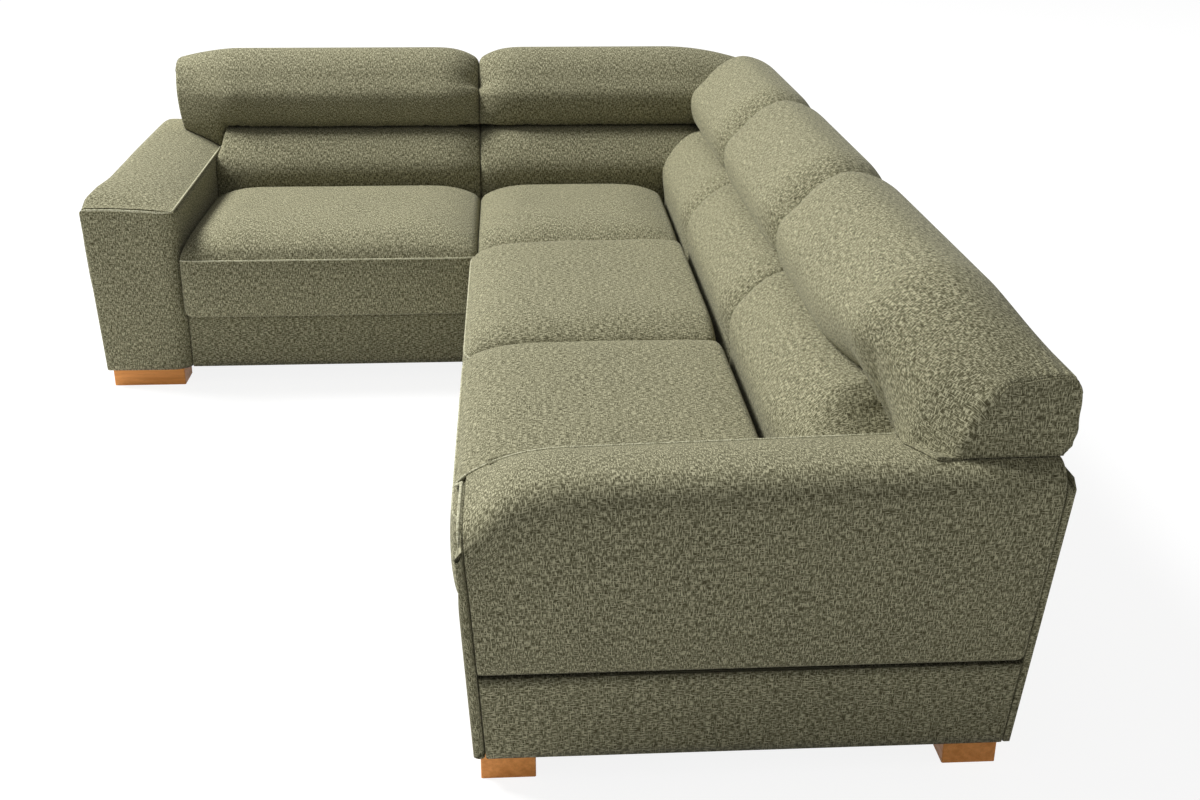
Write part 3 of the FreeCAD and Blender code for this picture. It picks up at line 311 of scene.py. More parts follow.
def pad_surface(low, high, spacing, roll_low, roll_high, section_at, spine):
    """Along places and sections of a pad; section_at takes the distance in from both ends.

    A roll is a radius, or one radius for each column of the section. In the roll a row sinks by
    the radius times one less the cosine, and draws in by the radius times one less the sine.
    """
    body = max(8, round((high - low) / spacing)) - 1
    turned, shrink = end_rows(ROLL_STEPS, body)
    share = end_shares(ROLL_STEPS, body)[:, None]
    roll = np.where(share == 0, roll_low, roll_high)
    sunk = roll * (1 - np.cos(turned))[:, None]
    body_low, body_high = low + roll_low, high - roll_high
    along = body_low + (body_high - body_low) * share
    along = np.where(share == 0, low + sunk, np.where(share == 1, high - sunk, along))
    middle = along.mean(axis=1)
    inset = roll * (1 - np.sin(turned))[:, None]
    section = draw_in(section_at(middle - low, high - middle), spine, inset, shrink)
    return np.broadcast_to(along, section.shape[:2]), section

# %% Uneven ripples
def waves(place_along, seed, lengths, bend=0.0):
    """Uneven ripples from -1 to 1: a sum of sines with seeded phases, one for each wavelength."""
    random = np.random.default_rng(seed)
    total = np.zeros_like(place_along)
    for wavelength in lengths:
        phase = random.uniform(0, 2 * math.pi)
        wander = bend * np.sin(place_along * 9.0 + random.uniform(0, 2 * math.pi))
        total = total + np.sin(2 * math.pi * place_along / wavelength + phase + wander)
    return total / len(lengths)


# %% [markdown]
# ## Chenille
# The cover is a slubby sage chenille: short tufts of pile on a plain weave, so the surface is a
# mesh of light flecks and dark gaps a few millimetres apart. Hair curves would give real pile at
# a great cost, and a picture of cloth would repeat. Two streaked noises, one for each yarn
# direction, make the flecks, and a broad noise makes the brushed patches. The pattern reads
# metres from the texture coordinates of each piece, so it follows seams and keeps its scale.

# %% Shader node helpers
def node(tree, kind, **values):
    """New node of a tree, with its plain properties set."""
    made = tree.nodes.new(kind)
    for name, value in values.items():
        setattr(made, name, value)
    return made


def link(tree, source, target):
    """Link from an output socket to an input socket."""
    tree.links.new(source, target)


def math_node(tree, operation, first, second):
    """Math node on sockets or numbers; gives its output socket."""
    made = node(tree, "ShaderNodeMath", operation=operation)
    for target, value in zip(made.inputs, (first, second)):
        if isinstance(value, (int, float)):
            target.default_value = value
        else:
            link(tree, value, target)
    return made.outputs[0]


def stretched_noise(tree, vector, scale, detail):
    """Noise whose coordinates are scaled by three factors, in features per metre."""
    factor = node(tree, "ShaderNodeVectorMath", operation="MULTIPLY")
    factor.inputs[1].default_value = scale
    link(tree, vector, factor.inputs[0])
    noise = node(tree, "ShaderNodeTexNoise")
    noise.inputs["Scale"].default_value = 1.0
    noise.inputs["Detail"].default_value = detail
    noise.inputs["Roughness"].default_value = 0.6
    link(tree, factor.outputs[0], noise.inputs["Vector"])
    return noise.outputs["Fac"]

# %% Colours, ranges and bumps
def remap(tree, value, low, high, to_low=0.0, to_high=1.0):
    """Value carried in a straight line from the range low to high to another range, and clamped."""
    made = node(tree, "ShaderNodeMapRange")
    limits = {"From Min": low, "From Max": high, "To Min": to_low, "To Max": to_high}
    for name, limit in limits.items():
        made.inputs[name].default_value = limit
    link(tree, value, made.inputs["Value"])
    return made.outputs["Result"]


def mixed_colour(tree, factor, first, second):
    """Mix of two colours, each a socket or a tuple; gives its output socket."""
    made = node(tree, "ShaderNodeMix", data_type="RGBA")
    link(tree, factor, made.inputs[0])
    for target, value in ((made.inputs[6], first), (made.inputs[7], second)):
        if isinstance(value, tuple):
            target.default_value = value
        else:
            link(tree, value, target)
    return made.outputs[2]


def add_bump(tree, shader, height, strength, depth):
    """Bump of a depth in metres from a height into a shader's normal."""
    bump = node(tree, "ShaderNodeBump")
    bump.inputs["Strength"].default_value = strength
    bump.inputs["Distance"].default_value = depth
    link(tree, height, bump.inputs["Height"])
    link(tree, bump.outputs[0], shader.inputs["Normal"])

# %% Groups and materials
def new_group(name, outputs):
    """Empty node group from a vector to named values; gives the group, its vector and its end."""
    group = bpy.data.node_groups.new(name, "ShaderNodeTree")
    group.interface.new_socket("Vector", in_out="INPUT", socket_type="NodeSocketVector")
    for output in outputs:
        group.interface.new_socket(output, in_out="OUTPUT", socket_type="NodeSocketFloat")
    start = node(group, "NodeGroupInput")
    return group, start.outputs["Vector"], node(group, "NodeGroupOutput")


def use_group(tree, group, vector):
    """A group placed in a material; gives its outputs."""
    made = node(tree, "ShaderNodeGroup")
    made.node_tree = group
    link(tree, vector, made.inputs["Vector"])
    return made.outputs


def tinted(colour, factor):
    """Colour times a factor, still opaque."""
    return tuple(factor * channel for channel in colour[:3]) + (1,)


def new_material(name):
    """Empty material with a Principled BSDF; gives the material, its tree and the shader."""
    material = bpy.data.materials.new(name)
    material.use_nodes = True
    tree = material.node_tree
    tree.nodes.clear()
    output = node(tree, "ShaderNodeOutputMaterial")
    shader = node(tree, "ShaderNodeBsdfPrincipled")
    link(tree, shader.outputs[0], output.inputs["Surface"])
    return material, tree, shader

# %% Chenille node group
YARN = 0.0023
PILE_LENGTH = 0.0110


def make_chenille_group():
    """Fleck, gap and brushed-patch masks and pile height from coordinates in metres."""
    group, vector, end = new_group("chenille_weave", ("Flecks", "Gaps", "Brushed", "Height"))
    upright = stretched_noise(group, vector, (1 / YARN, 1 / PILE_LENGTH, 1 / YARN), 1.0)
    level = stretched_noise(group, vector, (1 / PILE_LENGTH, 1 / YARN, 1 / PILE_LENGTH), 1.0)
    light = remap(group, upright, 0.54, 0.64), remap(group, level, 0.57, 0.69)
    flecks = math_node(group, "MAXIMUM", *light)
    dark = remap(group, upright, 0.56, 0.42), remap(group, level, 0.62, 0.42)
    gaps = math_node(group, "MULTIPLY", *dark)
    brushed = remap(group, stretched_noise(group, vector, (9.0, 6.0, 9.0), 3.0), 0.3, 0.7)
    height = math_node(group, "ADD", upright, level)
    for target, value in zip(end.inputs, (flecks, gaps, brushed, height)):
        link(group, value, target)
    return group


chenille_group = make_chenille_group()

# %% Chenille covers
def chenille(name, base, light, dark, depth):
    """Chenille cover: base colour with darker gaps, lighter flecks and brushed patches."""
    material, tree, shader = new_material(name)
    where = node(tree, "ShaderNodeTexCoord")
    weave = use_group(tree, chenille_group, where.outputs["UV"])
    patch = mixed_colour(tree, weave["Brushed"], base, tinted(base, 1.22))
    shaded = mixed_colour(tree, weave["Gaps"], patch, dark)
    flecked = mixed_colour(tree, weave["Flecks"], shaded, light)
    link(tree, flecked, shader.inputs["Base Color"])
    shader.inputs["Roughness"].default_value = 0.92
    shader.inputs["Specular IOR Level"].default_value = 0.15
    shader.inputs["Sheen Weight"].default_value = 0.12
    shader.inputs["Sheen Roughness"].default_value = 0.45
    shader.inputs["Sheen Tint"].default_value = (0.85, 0.84, 0.68, 1)
    add_bump(tree, shader, weave["Height"], 0.8, depth)
    return material


SAGE = (0.172, 0.164, 0.098, 1)
SAGE_LIGHT = (0.43, 0.41, 0.27, 1)
SAGE_DARK = (0.062, 0.056, 0.028, 1)
# Welt colours: lighter than the cover, partly for the crushed pile of the piping and partly as a painted
# highlight along the raised seams.
WELT_CRUSHED_AND_HIGHLIT = (0.42, 0.41, 0.28, 1)
WELT_FLECK_HIGHLIT = (0.60, 0.58, 0.42, 1)
cover_cloth = chenille("sage_chenille", SAGE, SAGE_LIGHT, SAGE_DARK, 0.0009)
welt_cloth_with_highlight = chenille("sage_welt", WELT_CRUSHED_AND_HIGHLIT, WELT_FLECK_HIGHLIT, SAGE, 0.0003)

# %% [markdown]
# ## Oak, timber, cloth and metal
# The feet are oiled oak blocks with the grain lying along them. Inside there are softwood frames,
# black spunbond cloth, a beige deck cloth, plain spring steel, zinc-plated bolts and black
# plastic legs. Scanned textures would need texture coordinates, which the carried-over pieces
# don't have, so grain and speckle are noises on Object coordinates.

# %% Grain node group
def make_grain_group():
    """Rings of a log seen along the grain, plus short dark pores, from coordinates in metres."""
    group, vector, end = new_group("wood_grain", ("Rings", "Pores"))
    rings = stretched_noise(group, vector, (7.0, 90.0, 110.0), 3.0)
    pores = stretched_noise(group, vector, (60.0, 900.0, 900.0), 2.0)
    link(group, remap(group, rings, 0.35, 0.65), end.inputs["Rings"])
    link(group, remap(group, pores, 0.56, 0.72), end.inputs["Pores"])
    return group


grain_group = make_grain_group()

# %% Wood and speckled finishes
def wood(name, pale, dark, roughness, turn=(0, 0, 0)):
    """Wood whose grain runs along X, or along another axis when turned."""
    material, tree, shader = new_material(name)
    where = node(tree, "ShaderNodeTexCoord")
    turned = node(tree, "ShaderNodeMapping")
    turned.inputs["Rotation"].default_value = turn
    link(tree, where.outputs["Object"], turned.inputs["Vector"])
    grain = use_group(tree, grain_group, turned.outputs[0])
    ringed = mixed_colour(tree, grain["Rings"], pale, dark)
    in_pores = math_node(tree, "MULTIPLY", grain["Pores"], 0.35)
    link(tree, mixed_colour(tree, in_pores, ringed, tinted(dark, 0.45)), shader.inputs["Base Color"])
    rough = remap(tree, grain["Rings"], 0, 1, roughness - 0.06, roughness + 0.06)
    link(tree, rough, shader.inputs["Roughness"])
    add_bump(tree, shader, grain["Pores"], 0.35, 0.0004)
    return material


def speckled(name, base, other, scale, roughness, metallic=0.0, depth=0.0002):
    """Plain finish with a fine uneven tone: woven backing cloth, plastic or plated steel."""
    material, tree, shader = new_material(name)
    where = node(tree, "ShaderNodeTexCoord")
    grain = stretched_noise(tree, where.outputs["Object"], (scale, scale, scale), 3.0)
    tone = mixed_colour(tree, remap(tree, grain, 0.35, 0.65), base, other)
    link(tree, tone, shader.inputs["Base Color"])
    rough = remap(tree, grain, 0.3, 0.7, roughness - 0.05, roughness + 0.05)
    link(tree, rough, shader.inputs["Roughness"])
    shader.inputs["Metallic"].default_value = metallic
    add_bump(tree, shader, grain, 0.4, depth)
    return material

# %% Finishes of the sofa
QUARTER_TURN = (0, 0, math.pi / 2)
OAK_PALE = (0.86, 0.35, 0.072, 1)
OAK_DARK = (0.70, 0.26, 0.045, 1)
oak = wood("oiled_oak", OAK_PALE, OAK_DARK, 0.5)
oak_turned = wood("oiled_oak_turned", OAK_PALE, OAK_DARK, 0.5, QUARTER_TURN)
pine = wood("frame_pine", (0.56, 0.40, 0.22, 1), (0.42, 0.27, 0.13, 1), 0.7)
deck_cloth = speckled("deck_cloth", (0.30, 0.28, 0.22, 1), (0.20, 0.19, 0.15, 1), 700, 0.9, depth=0.0004)
dust_cloth = speckled("dust_cloth", (0.022, 0.022, 0.022, 1), (0.045, 0.045, 0.042, 1), 500, 0.9)
spring_steel = speckled("spring_steel", (0.16, 0.16, 0.17, 1), (0.26, 0.26, 0.27, 1), 260, 0.38, 1.0)
zinc = speckled("zinc_steel", (0.58, 0.57, 0.50, 1), (0.44, 0.44, 0.42, 1), 180, 0.32, 1.0)
plastic = speckled("leg_plastic", (0.018, 0.018, 0.018, 1), (0.035, 0.035, 0.035, 1), 400, 0.5)
strap_weave = speckled("strap_weave", (0.12, 0.11, 0.10, 1), (0.30, 0.28, 0.24, 1), 480, 0.85)
print("materials", [material.name for material in bpy.data.materials])

# %% Finishes of the carried-over nodes
FINISHES = {
    "foot_bolts": zinc, "module_brackets": zinc, "spring_clips": plastic,
    "hidden_support_legs": plastic, "back_webbing": strap_weave,
}


def finish_for(name):
    """Material of a carried-over node, by its name."""
    if name in FINISHES:
        return FINISHES[name]
    if name.endswith("_foot"):
        return oak_turned if name.startswith("near") else oak
    if name.endswith("_springs"):
        return spring_steel
    if name.endswith("_frame"):
        return pine
    return cover_cloth


for name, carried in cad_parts.items():
    finish = finish_for(name)
    if not carried.material_slots:
        carried.data.materials.append(finish)
    for slot_place in carried.material_slots:
        slot_place.material = finish
print("finishes on", len(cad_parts), "carried-over nodes")

# %% [markdown]
# ## Handing a piece over
# Each finished piece is given its material and the body that it rides on, and the solids that it
# stands for are hidden. Done by hand for each piece, a line would soon be missing, so one function
# does it for all. The piped seams, or welts, are thin tubes over the seams' own points. A curve
# object with a round bevel would give the same tube, but not its tapered ends.

# %% Finish a piece
BASE = "sofa_base"


def hand_over(piece, material, body, replaced=()):
    """A piece given its material and body, with the solids that it stands for hidden."""
    piece.data.materials.append(material)
    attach(piece, body)
    if replaced:
        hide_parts(*replaced)
    print(piece.name, len(piece.data.polygons), "faces")

# %% Piped seam
def welt(name, path, radius, body, material=None):
    """Piped seam: a tube of eight-sided rings along a path, each square to the path's tangent."""
    tangent = np.gradient(path, axis=0)
    tangent /= np.linalg.norm(tangent, axis=1, keepdims=True)
    level = abs(tangent[:, 2]).mean() < 0.7
    side = np.cross(tangent, (0.0, 0.0, 1.0) if level else (1.0, 0.0, 0.0))
    side /= np.linalg.norm(side, axis=1, keepdims=True)
    rise = np.cross(side, tangent)
    angle = np.linspace(0, 2 * math.pi, 8, endpoint=False)[None, :, None]
    taper = np.ones(len(path))
    taper[[0, -1]] = 0.4
    ring = np.cos(angle) * side[:, None] + np.sin(angle) * rise[:, None]
    rings = path[:, None] + radius * taper[:, None, None] * ring
    hand_over(skin(name, rings), material or welt_cloth_with_highlight, body)


# %% [markdown]
# ## Seat cushions
# Four loose box cushions. A crowned top panel meets an upright border at a piped seam, and the
# border swells a little between its seams. Cloth simulation could puff a sewn box, but it would
# move the seams that the photograph fixes. So the section is drawn with its crown, and carried
# along the seat: the crown sinks towards the sides, the front corners draw in, slow waves make
# the top uneven, and the underside lies flat on the deck.

# %% Seat section
SEAT_UNDER = left_seat_low[2]
SEAT_SEAM = 0.412
SEAT_CROWN = left_seat_high[2] - SEAT_SEAM
SEAT_REAR = 0.597
SEAT_FRONT = -0.039
FRONT_SEAM = 5
SEAT_CORNERS = [0, FRONT_SEAM, 14]


def seat_controls(full, front, proud):
    """Section of a seat: border, seam, crowned top, rear and flat underside, for each fullness."""
    rise = SEAT_CROWN * (0.42 + 0.58 * full)
    nose = front + 0.016 * proud * (1 - full) ** 3
    tail = SEAT_REAR - 0.006 * (1 - full) ** 3
    swell = 0.009 * proud * (0.35 + 0.65 * full)
    under, seam = SEAT_UNDER, SEAT_SEAM
    return stacked([
        (nose + 0.022, under), (nose + 0.003, under + 0.007), (nose - 0.7 * swell, under + 0.042),
        (nose - swell, (under + seam) / 2), (nose - 0.75 * swell, seam - 0.040), (nose, seam),
        (nose + 0.026, seam + rise * 0.46), (nose + 0.088, seam + rise * 0.82),
        (nose + 0.175, seam + rise * 0.96), (nose + 0.290, seam + rise),
        (nose + 0.375, seam + rise), (nose + 0.455, seam + rise),
        (tail - 0.060, seam + rise * 0.97), (tail - 0.014, seam + rise * 0.80),
        (tail, seam - 0.010), (tail, under + 0.020), (tail - 0.020, under),
        (tail - 0.200, under), (tail - 0.400, under),
    ])

# %% Seat cushion
SEAT_REACH = 0.200
SEAT_ROLL = 0.022
SEAT_SPACING = 0.008
SEAT_COLUMN = 0.007
SEAT_UNEVEN = 0.0035
SEAT_SPINE = ((0.09, 0.35), (0.48, 0.35))
SEAT_WELT = 0.0026


def make_seat(label, wing, low, high, front, seed):
    """Seat cushion: the section at each row's fullness, with two seeded waves over its top."""
    low, high = low + GAP, high - GAP
    proud = 1.0 if front < -JOIN else 0.0
    reference = seat_controls(np.array([1.0]), front, proud)[0]
    weights, seam_columns = ring_weights(reference, SEAT_CORNERS, SEAT_COLUMN)

    def section_at(from_low, from_high):
        full = fullness(np.minimum(from_low, from_high), SEAT_REACH)
        return swept(weights, seat_controls(full, front, proud))

    along, section = pad_surface(low, high, SEAT_SPACING, SEAT_ROLL, SEAT_ROLL, section_at, SEAT_SPINE)
    deep = section[..., 0]
    tall = np.maximum(section[..., 1], SEAT_UNDER)
    top = np.clip((tall - SEAT_SEAM) / SEAT_CROWN, 0, 1)
    drift = waves(along + 0.4 * deep, seed, (0.31, 0.22, 0.41)) * waves(deep, seed + 1, (0.37, 0.29))
    rings = place(wing, along, deep, tall + SEAT_UNEVEN * top * drift)
    body = f"{label}_seat_cushion"
    seat = skin(body, rings, CAP_ROWS)
    hand_over(seat, cover_cloth, body, (f"{label}_seat_cover", f"{label}_seat_core"))
    seam = rings[CAP_ROWS + 2:-CAP_ROWS - 2, seam_columns[FRONT_SEAM]]
    welt(f"{label}_seat_welt", seam, SEAT_WELT, body)


make_seat("left", "left", LEFT_ARM_IN, -JOIN, SEAT_FRONT, 11)
make_seat("corner", "left", -JOIN, SEAT_REAR, -JOIN + 3 * GAP, 12)
make_seat("middle", "right", SEAT_SPLIT, -JOIN, SEAT_FRONT, 13)
make_seat("near", "right", NEAR_ARM_IN, SEAT_SPLIT, SEAT_FRONT, 14)

# %% [markdown]
# ## The arm's dome as a surface
# The outer pillows lie on the arms, so the height of the arm's top is needed before the arms are
# drawn. Rays shot at a finished arm would give it too, but only after the arm is made. Here it is
# a formula that the pillows, the arm pads and the facings share.

# %% Arm top, which the outer pillows rest on
ARM_WIDE = 0.2575
ARM_SIDE_LEAN = 0.014
ARM_OUTER = ARM_WIDE + ARM_SIDE_LEAN
ARM_SEAM = 0.556
ARM_SEAM_RISE = 0.024
ARM_CROWN = 0.046
ARM_SHOULDER = 0.060
CROWN_DEEP = np.array([-0.06, 0.01, 0.06, 0.15, 0.30, 0.60, 0.90, 1.00, 1.09])
CROWN_SHARE = np.array([0.2, 0.35, 0.8, 0.98, 1.0, 1.04, 1.0, 0.97, 0.94])


def arm_rise(deep):
    """Seam height and crown height of an arm at a depth."""
    return ARM_SEAM + ARM_SEAM_RISE * deep, ARM_CROWN * np.interp(deep, CROWN_DEEP, CROWN_SHARE)


def shoulder_at(deep, corner):
    """Shoulder radius: the corner of the front facing, widening to the full shoulder behind it."""
    return corner + (ARM_SHOULDER - corner) * smooth(ramp(deep, 0, 0.30))


def over_edge(across, give):
    """How far a soft edge has given way beside an arm: 0 at the give distance, 1 on the arm."""
    return smooth(ramp(across, -give, 0.005))


def arm_top(across, deep, corner=ARM_SHOULDER):
    """Height of an arm's dome: a flat arc from the inner seam to the crest, then a quarter circle."""
    seam, crown = arm_rise(deep)
    shoulder = shoulder_at(deep, corner)
    crest = ARM_OUTER - shoulder
    radius = (crest ** 2 + crown ** 2) / (2 * crown)
    inside = seam + crown - radius + np.sqrt(np.maximum(radius ** 2 - (crest - across) ** 2, 0))
    round_part = np.sqrt(np.maximum(shoulder ** 2 - (across - crest) ** 2, 0))
    return np.where(across < crest, inside, seam + crown - shoulder + round_part)


print("arm's crest at half depth", round(float(arm_top(ARM_OUTER - ARM_SHOULDER, 0.5)), 4))

# %% [markdown]
# ## Lumbar pads
# Each seat place has a lower back pad. It bellies forward above the seat and rolls back into the
# crease under the pillow, where the cloth is gathered. Sculpting could draw the gathers one by
# one. Here they are ripples along the seam that die away from it, so they can be changed with two
# depths. Beside an arm the pad's top comes down to the arm's seam.

# %% Lumbar section
UNDER = 0.230
CREASE = 0.652
LUMBAR_FRONT = 0.600
LUMBAR_CORNERS = [0, 9, 10, 12]
FRAME_FRONT_LOW = 0.803
FRAME_FRONT_HIGH = 0.848
SOFT_GAP = 0.002
FULL = np.array([1.0])


def lumbar_controls(full):
    """Section of a lumbar pad; back and drop are how far its ends give way."""
    back = 0.024 * (1 - full)
    drop = 0.017 * (1 - full)
    front, top = LUMBAR_FRONT, CREASE - 0.001
    return stacked([
        (front + 0.012, UNDER), (front + 0.011 + 0.2 * back, UNDER + 0.095),
        (front + 0.010 + 0.5 * back, UNDER + 0.190), (front + 0.002 + back, 0.505),
        (front + 0.012 + back, 0.548 - 0.5 * drop), (front + 0.040 + back, 0.587 - drop),
        (front + 0.070 + 0.9 * back, 0.616 - drop), (front + 0.104 + 0.7 * back, 0.637 - drop),
        (front + 0.142, 0.646 - drop), (front + 0.175, top - drop),
        (FRAME_FRONT_HIGH, top - 0.5 * drop), (0.826, 0.440),
        (FRAME_FRONT_LOW, UNDER), (0.705, UNDER),
    ])

# %% Gathers
GATHER_FADE = 0.034


def girth_from(rings, column):
    """Distance round the middle ring from one column, the shorter way, and from column 0."""
    middle = rings[len(rings) // 2]
    steps = np.linalg.norm(np.roll(middle, -1, axis=0) - middle, axis=1)
    run = np.concatenate([[0], np.cumsum(steps)])[:-1]
    gap = np.abs(run - run[column])
    return np.minimum(gap, steps.sum() - gap), run


def gathered(rings, along, low, high, seam_column, at_ends, at_seam, seed, wing):
    """Rings pushed in along their normals by gathers at both ends and along a seam.

    A gather is ripples of uneven wavelength times its depth in metres, and it dies away
    exponentially with the distance from its seam. Nothing is pushed sideways to a neighbour.
    """
    normal = surface_normals(rings)
    from_seam, run = girth_from(rings, seam_column)
    from_end = np.minimum(np.abs(along - low), np.abs(high - along))
    end_ripple = 0.5 + 0.5 * waves(run, seed, (0.031, 0.046, 0.039), 0.8)
    seam_ripple = 0.5 + 0.5 * waves(along, seed + 5, (0.029, 0.043, 0.036), 0.8)
    patchy = 0.55 + 0.45 * waves(along, seed + 7, (0.21, 0.13))
    corner = 1 + 1.6 * np.exp(-from_end / 0.09)
    push = -at_ends * np.exp(-from_end / GATHER_FADE) * end_ripple
    push = push - at_seam * np.exp(-from_seam / GATHER_FADE) * seam_ripple * patchy * corner
    sideways = normal[..., along_axis(wing)]
    return rings + normal * (push * (1 - sideways ** 2))[..., None]

# %% Lumbar pad
LUMBAR_REACH = 0.150
LUMBAR_SPINE = ((0.72, 0.33), (0.735, 0.56))
LUMBAR_ROLL_LOW = 0.016
LUMBAR_ROLL_BY_ARM = 0.006
LUMBAR_ROLL_HIGH = 0.010
ARM_HEAD_START = 0.14
BELOW_ARM_SEAM = 0.006
LUMBAR_END_GATHERS = 0.0045
LUMBAR_CREASE_GATHERS = 0.0060


def front_of(controls):
    """Front deep of a pad's section at each height, as a function for interpolation."""
    order = np.argsort(controls[:, 1])
    return lambda tall: np.interp(tall, controls[order, 1], controls[order, 0])


lumbar_face = front_of(lumbar_controls(FULL)[0][:9])


def make_lumbar(label, wing, low, high, seed, shy=0.0, give=0.0, stop=None):
    """Lumbar pad: the section at each row's fullness, with gathers.

    Beside an arm its front stands back by shy, and its top gives way over the distance give to
    just below the arm's seam. A stop is the face of the pad that it runs up to.
    """
    low, high = low + GAP, high - GAP
    weights, columns = ring_weights(lumbar_controls(FULL)[0], LUMBAR_CORNERS, SPACING)
    head_start, roll_low = (ARM_HEAD_START, LUMBAR_ROLL_BY_ARM) if shy else (0.0, LUMBAR_ROLL_LOW)

    def section_at(from_low, from_high):
        full = fullness(np.minimum(from_low + head_start, from_high), LUMBAR_REACH)
        return swept(weights, lumbar_controls(full))

    along, section = pad_surface(
        low, high, SPACING, roll_low, LUMBAR_ROLL_HIGH, section_at, LUMBAR_SPINE)
    deep = section[..., 0]
    tall = np.maximum(section[..., 1], UNDER)
    if shy:
        near = ramp(along, low + 0.25, low) ** 1.5
        deep = deep + shy * near * ramp(deep, 0.80, 0.68) * ramp(tall, 0.30, 0.50)
        limit = arm_top(0.0, deep) - BELOW_ARM_SEAM
        tall = tall - np.maximum(tall - limit, 0) * over_edge(low - GAP - along, give)
    if stop is not None:
        along = np.minimum(along, stop(tall) - SOFT_GAP)
    rings = place(wing, along, deep, tall)
    rings = gathered(
        rings, along, low, high, columns[9], LUMBAR_END_GATHERS, LUMBAR_CREASE_GATHERS, seed, wing)
    pad = skin(f"{label}_lumbar", rings, CAP_ROWS)
    hand_over(pad, cover_cloth, BASE, (f"{label}_lumbar_pad",))


make_lumbar("left", "left", LEFT_ARM_IN, -JOIN, 21, 0.045, 0.030)
make_lumbar("corner_left", "left", -JOIN, 0.801, 22)
make_lumbar("corner_right", "right", -JOIN, 0.735, 23, stop=lumbar_face)
make_lumbar("middle", "right", SEAT_SPLIT, -JOIN, 24)
make_lumbar("near", "right", NEAR_ARM_IN, SEAT_SPLIT, 25, 0.030, 0.110)

# %% [markdown]
# ## Top pillows
# A fat roll lies on each lumbar pad and hangs over the back panel. Its two ends lose height and
# draw back, so neighbours meet in a deep fold. The two outer pillows run on over the arms, where
# they end in a panel with a gathered seam over its top. A cloth simulation could drop them there,
# but their places in the photograph would be lost, so each passes from one drawn section to
# another.

# %% Pillow sections
PILLOW_FRONT = 0.700
PILLOW_REAR = 1.080
PILLOW_TOP = 0.896
PILLOW_REACH = 0.170
LIP = 0.599
PILLOW_CORNERS = [0, 15, 16, 17]


def pillow_controls(full):
    """Section of a pillow between its ends, for each fullness."""
    back = 0.050 * (1 - full)
    drop = 0.040 * (1 - full)
    slim = 0.014 * (1 - full)
    front, rear, top = PILLOW_FRONT, PILLOW_REAR, PILLOW_TOP
    return stacked([
        (0.735 + 0.1 * back, CREASE), (front + 0.013 + 0.6 * back, CREASE + 0.026),
        (front + back, CREASE + 0.070), (front + 0.006 + back, CREASE + 0.116),
        (front + 0.045 + back, top - 0.080 - drop), (front + 0.077 + 0.8 * back, top - 0.046 - drop),
        (front + 0.117 + 0.5 * back, top - 0.018 - drop), (front + 0.170, top - drop),
        (front + 0.226, top - 0.011 - drop), (front + 0.274 - 0.5 * slim, top - 0.040 - drop),
        (rear - 0.066 - slim, top - 0.092 - drop), (rear - 0.032 - slim, top - 0.138 - 0.5 * drop),
        (rear - 0.008 - slim, top - 0.184), (rear - slim, top - 0.216), (rear - 0.003 - slim, LIP + 0.045),
        (rear - 0.012 - slim, LIP), (rear - 0.036, LIP), (rear - 0.042, CREASE),
        (rear - 0.140, CREASE), (rear - 0.245, CREASE),
    ])


NEAR_END = np.array([
    (0.812, 0.578), (0.826, 0.610), (0.852, 0.668), (0.883, 0.722),
    (0.914, 0.758), (0.926, 0.765), (0.940, 0.768), (0.962, 0.770),
    (0.988, 0.775), (1.016, 0.778), (1.042, 0.774), (1.055, 0.762),
    (1.062, 0.742), (1.063, 0.712), (1.061, 0.660), (1.050, 0.632),
    (1.034, 0.618), (1.020, 0.600), (0.950, 0.600), (0.880, 0.600),
])
LEFT_END = np.array([
    (0.896, 0.628), (0.866, 0.654), (0.824, 0.700), (0.802, 0.752),
    (0.810, 0.802), (0.832, 0.836), (0.870, 0.858), (0.920, 0.862),
    (0.976, 0.850), (1.024, 0.826), (1.052, 0.794), (1.065, 0.760),
    (1.072, 0.720), (1.075, 0.690), (1.073, 0.645), (1.066, 0.605),
    (1.044, 0.600), (1.036, 0.600), (1.000, 0.610), (0.960, 0.625),
])
print("near end", round(NEAR_END[:, 1].max(), 3), "left end", round(LEFT_END[:, 1].max(), 3))

# %% Pillows on an arm and at the corner
SOFT_BELOW = 0.740
BOARD_DEEP = 1.04
SET_BACK = 0.64


def laid_on_arm(across, deep, tall, give):
    """Deep and tall of a pillow beside and on an arm.

    Its low front draws back by SET_BACK times give towards the arm. What is below SOFT_BELOW is let down
    to the arm's dome in proportion, and on the arm nothing stays lower than the dome.
    """
    floor = arm_top(np.clip(across, 0, 0.24), deep) + SOFT_GAP
    eased = ramp(across, -0.32, 0) ** 1.4 * ramp(across, 0.14, 0)
    deep = deep + give * SET_BACK * eased * ramp(tall, 0.800, 0.670) * ramp(deep, 0.960, 0.860)
    sunk = floor + (tall - CREASE) * (SOFT_BELOW - floor) / (SOFT_BELOW - CREASE)
    lowered = tall + (np.minimum(sunk, tall) - tall) * over_edge(across, give)
    tall = np.where((tall < SOFT_BELOW) & (deep < BOARD_DEEP), lowered, tall)
    return deep, np.where((across > 0) & (deep < BOARD_DEEP), np.maximum(tall, floor), tall)


def hung_at_corner(along, deep, tall, high, sag):
    """Tall of the corner pillow: its last rows hang to LIP behind, and its top sags by a square."""
    ceiling = CREASE + 0.12
    hung = np.maximum(ceiling - (ceiling - tall) * (ceiling - LIP) / (ceiling - CREASE), LIP)
    share = ramp(along, high - 0.036, high - 0.026) * ramp(deep, 0.79, 0.81)
    tall = np.where(tall < ceiling, tall + (hung - tall) * share, tall)
    past = np.maximum((along - high + 0.430) / 0.230, 0)
    return tall - sag * past ** 2 * ramp(tall, CREASE, PILLOW_TOP)

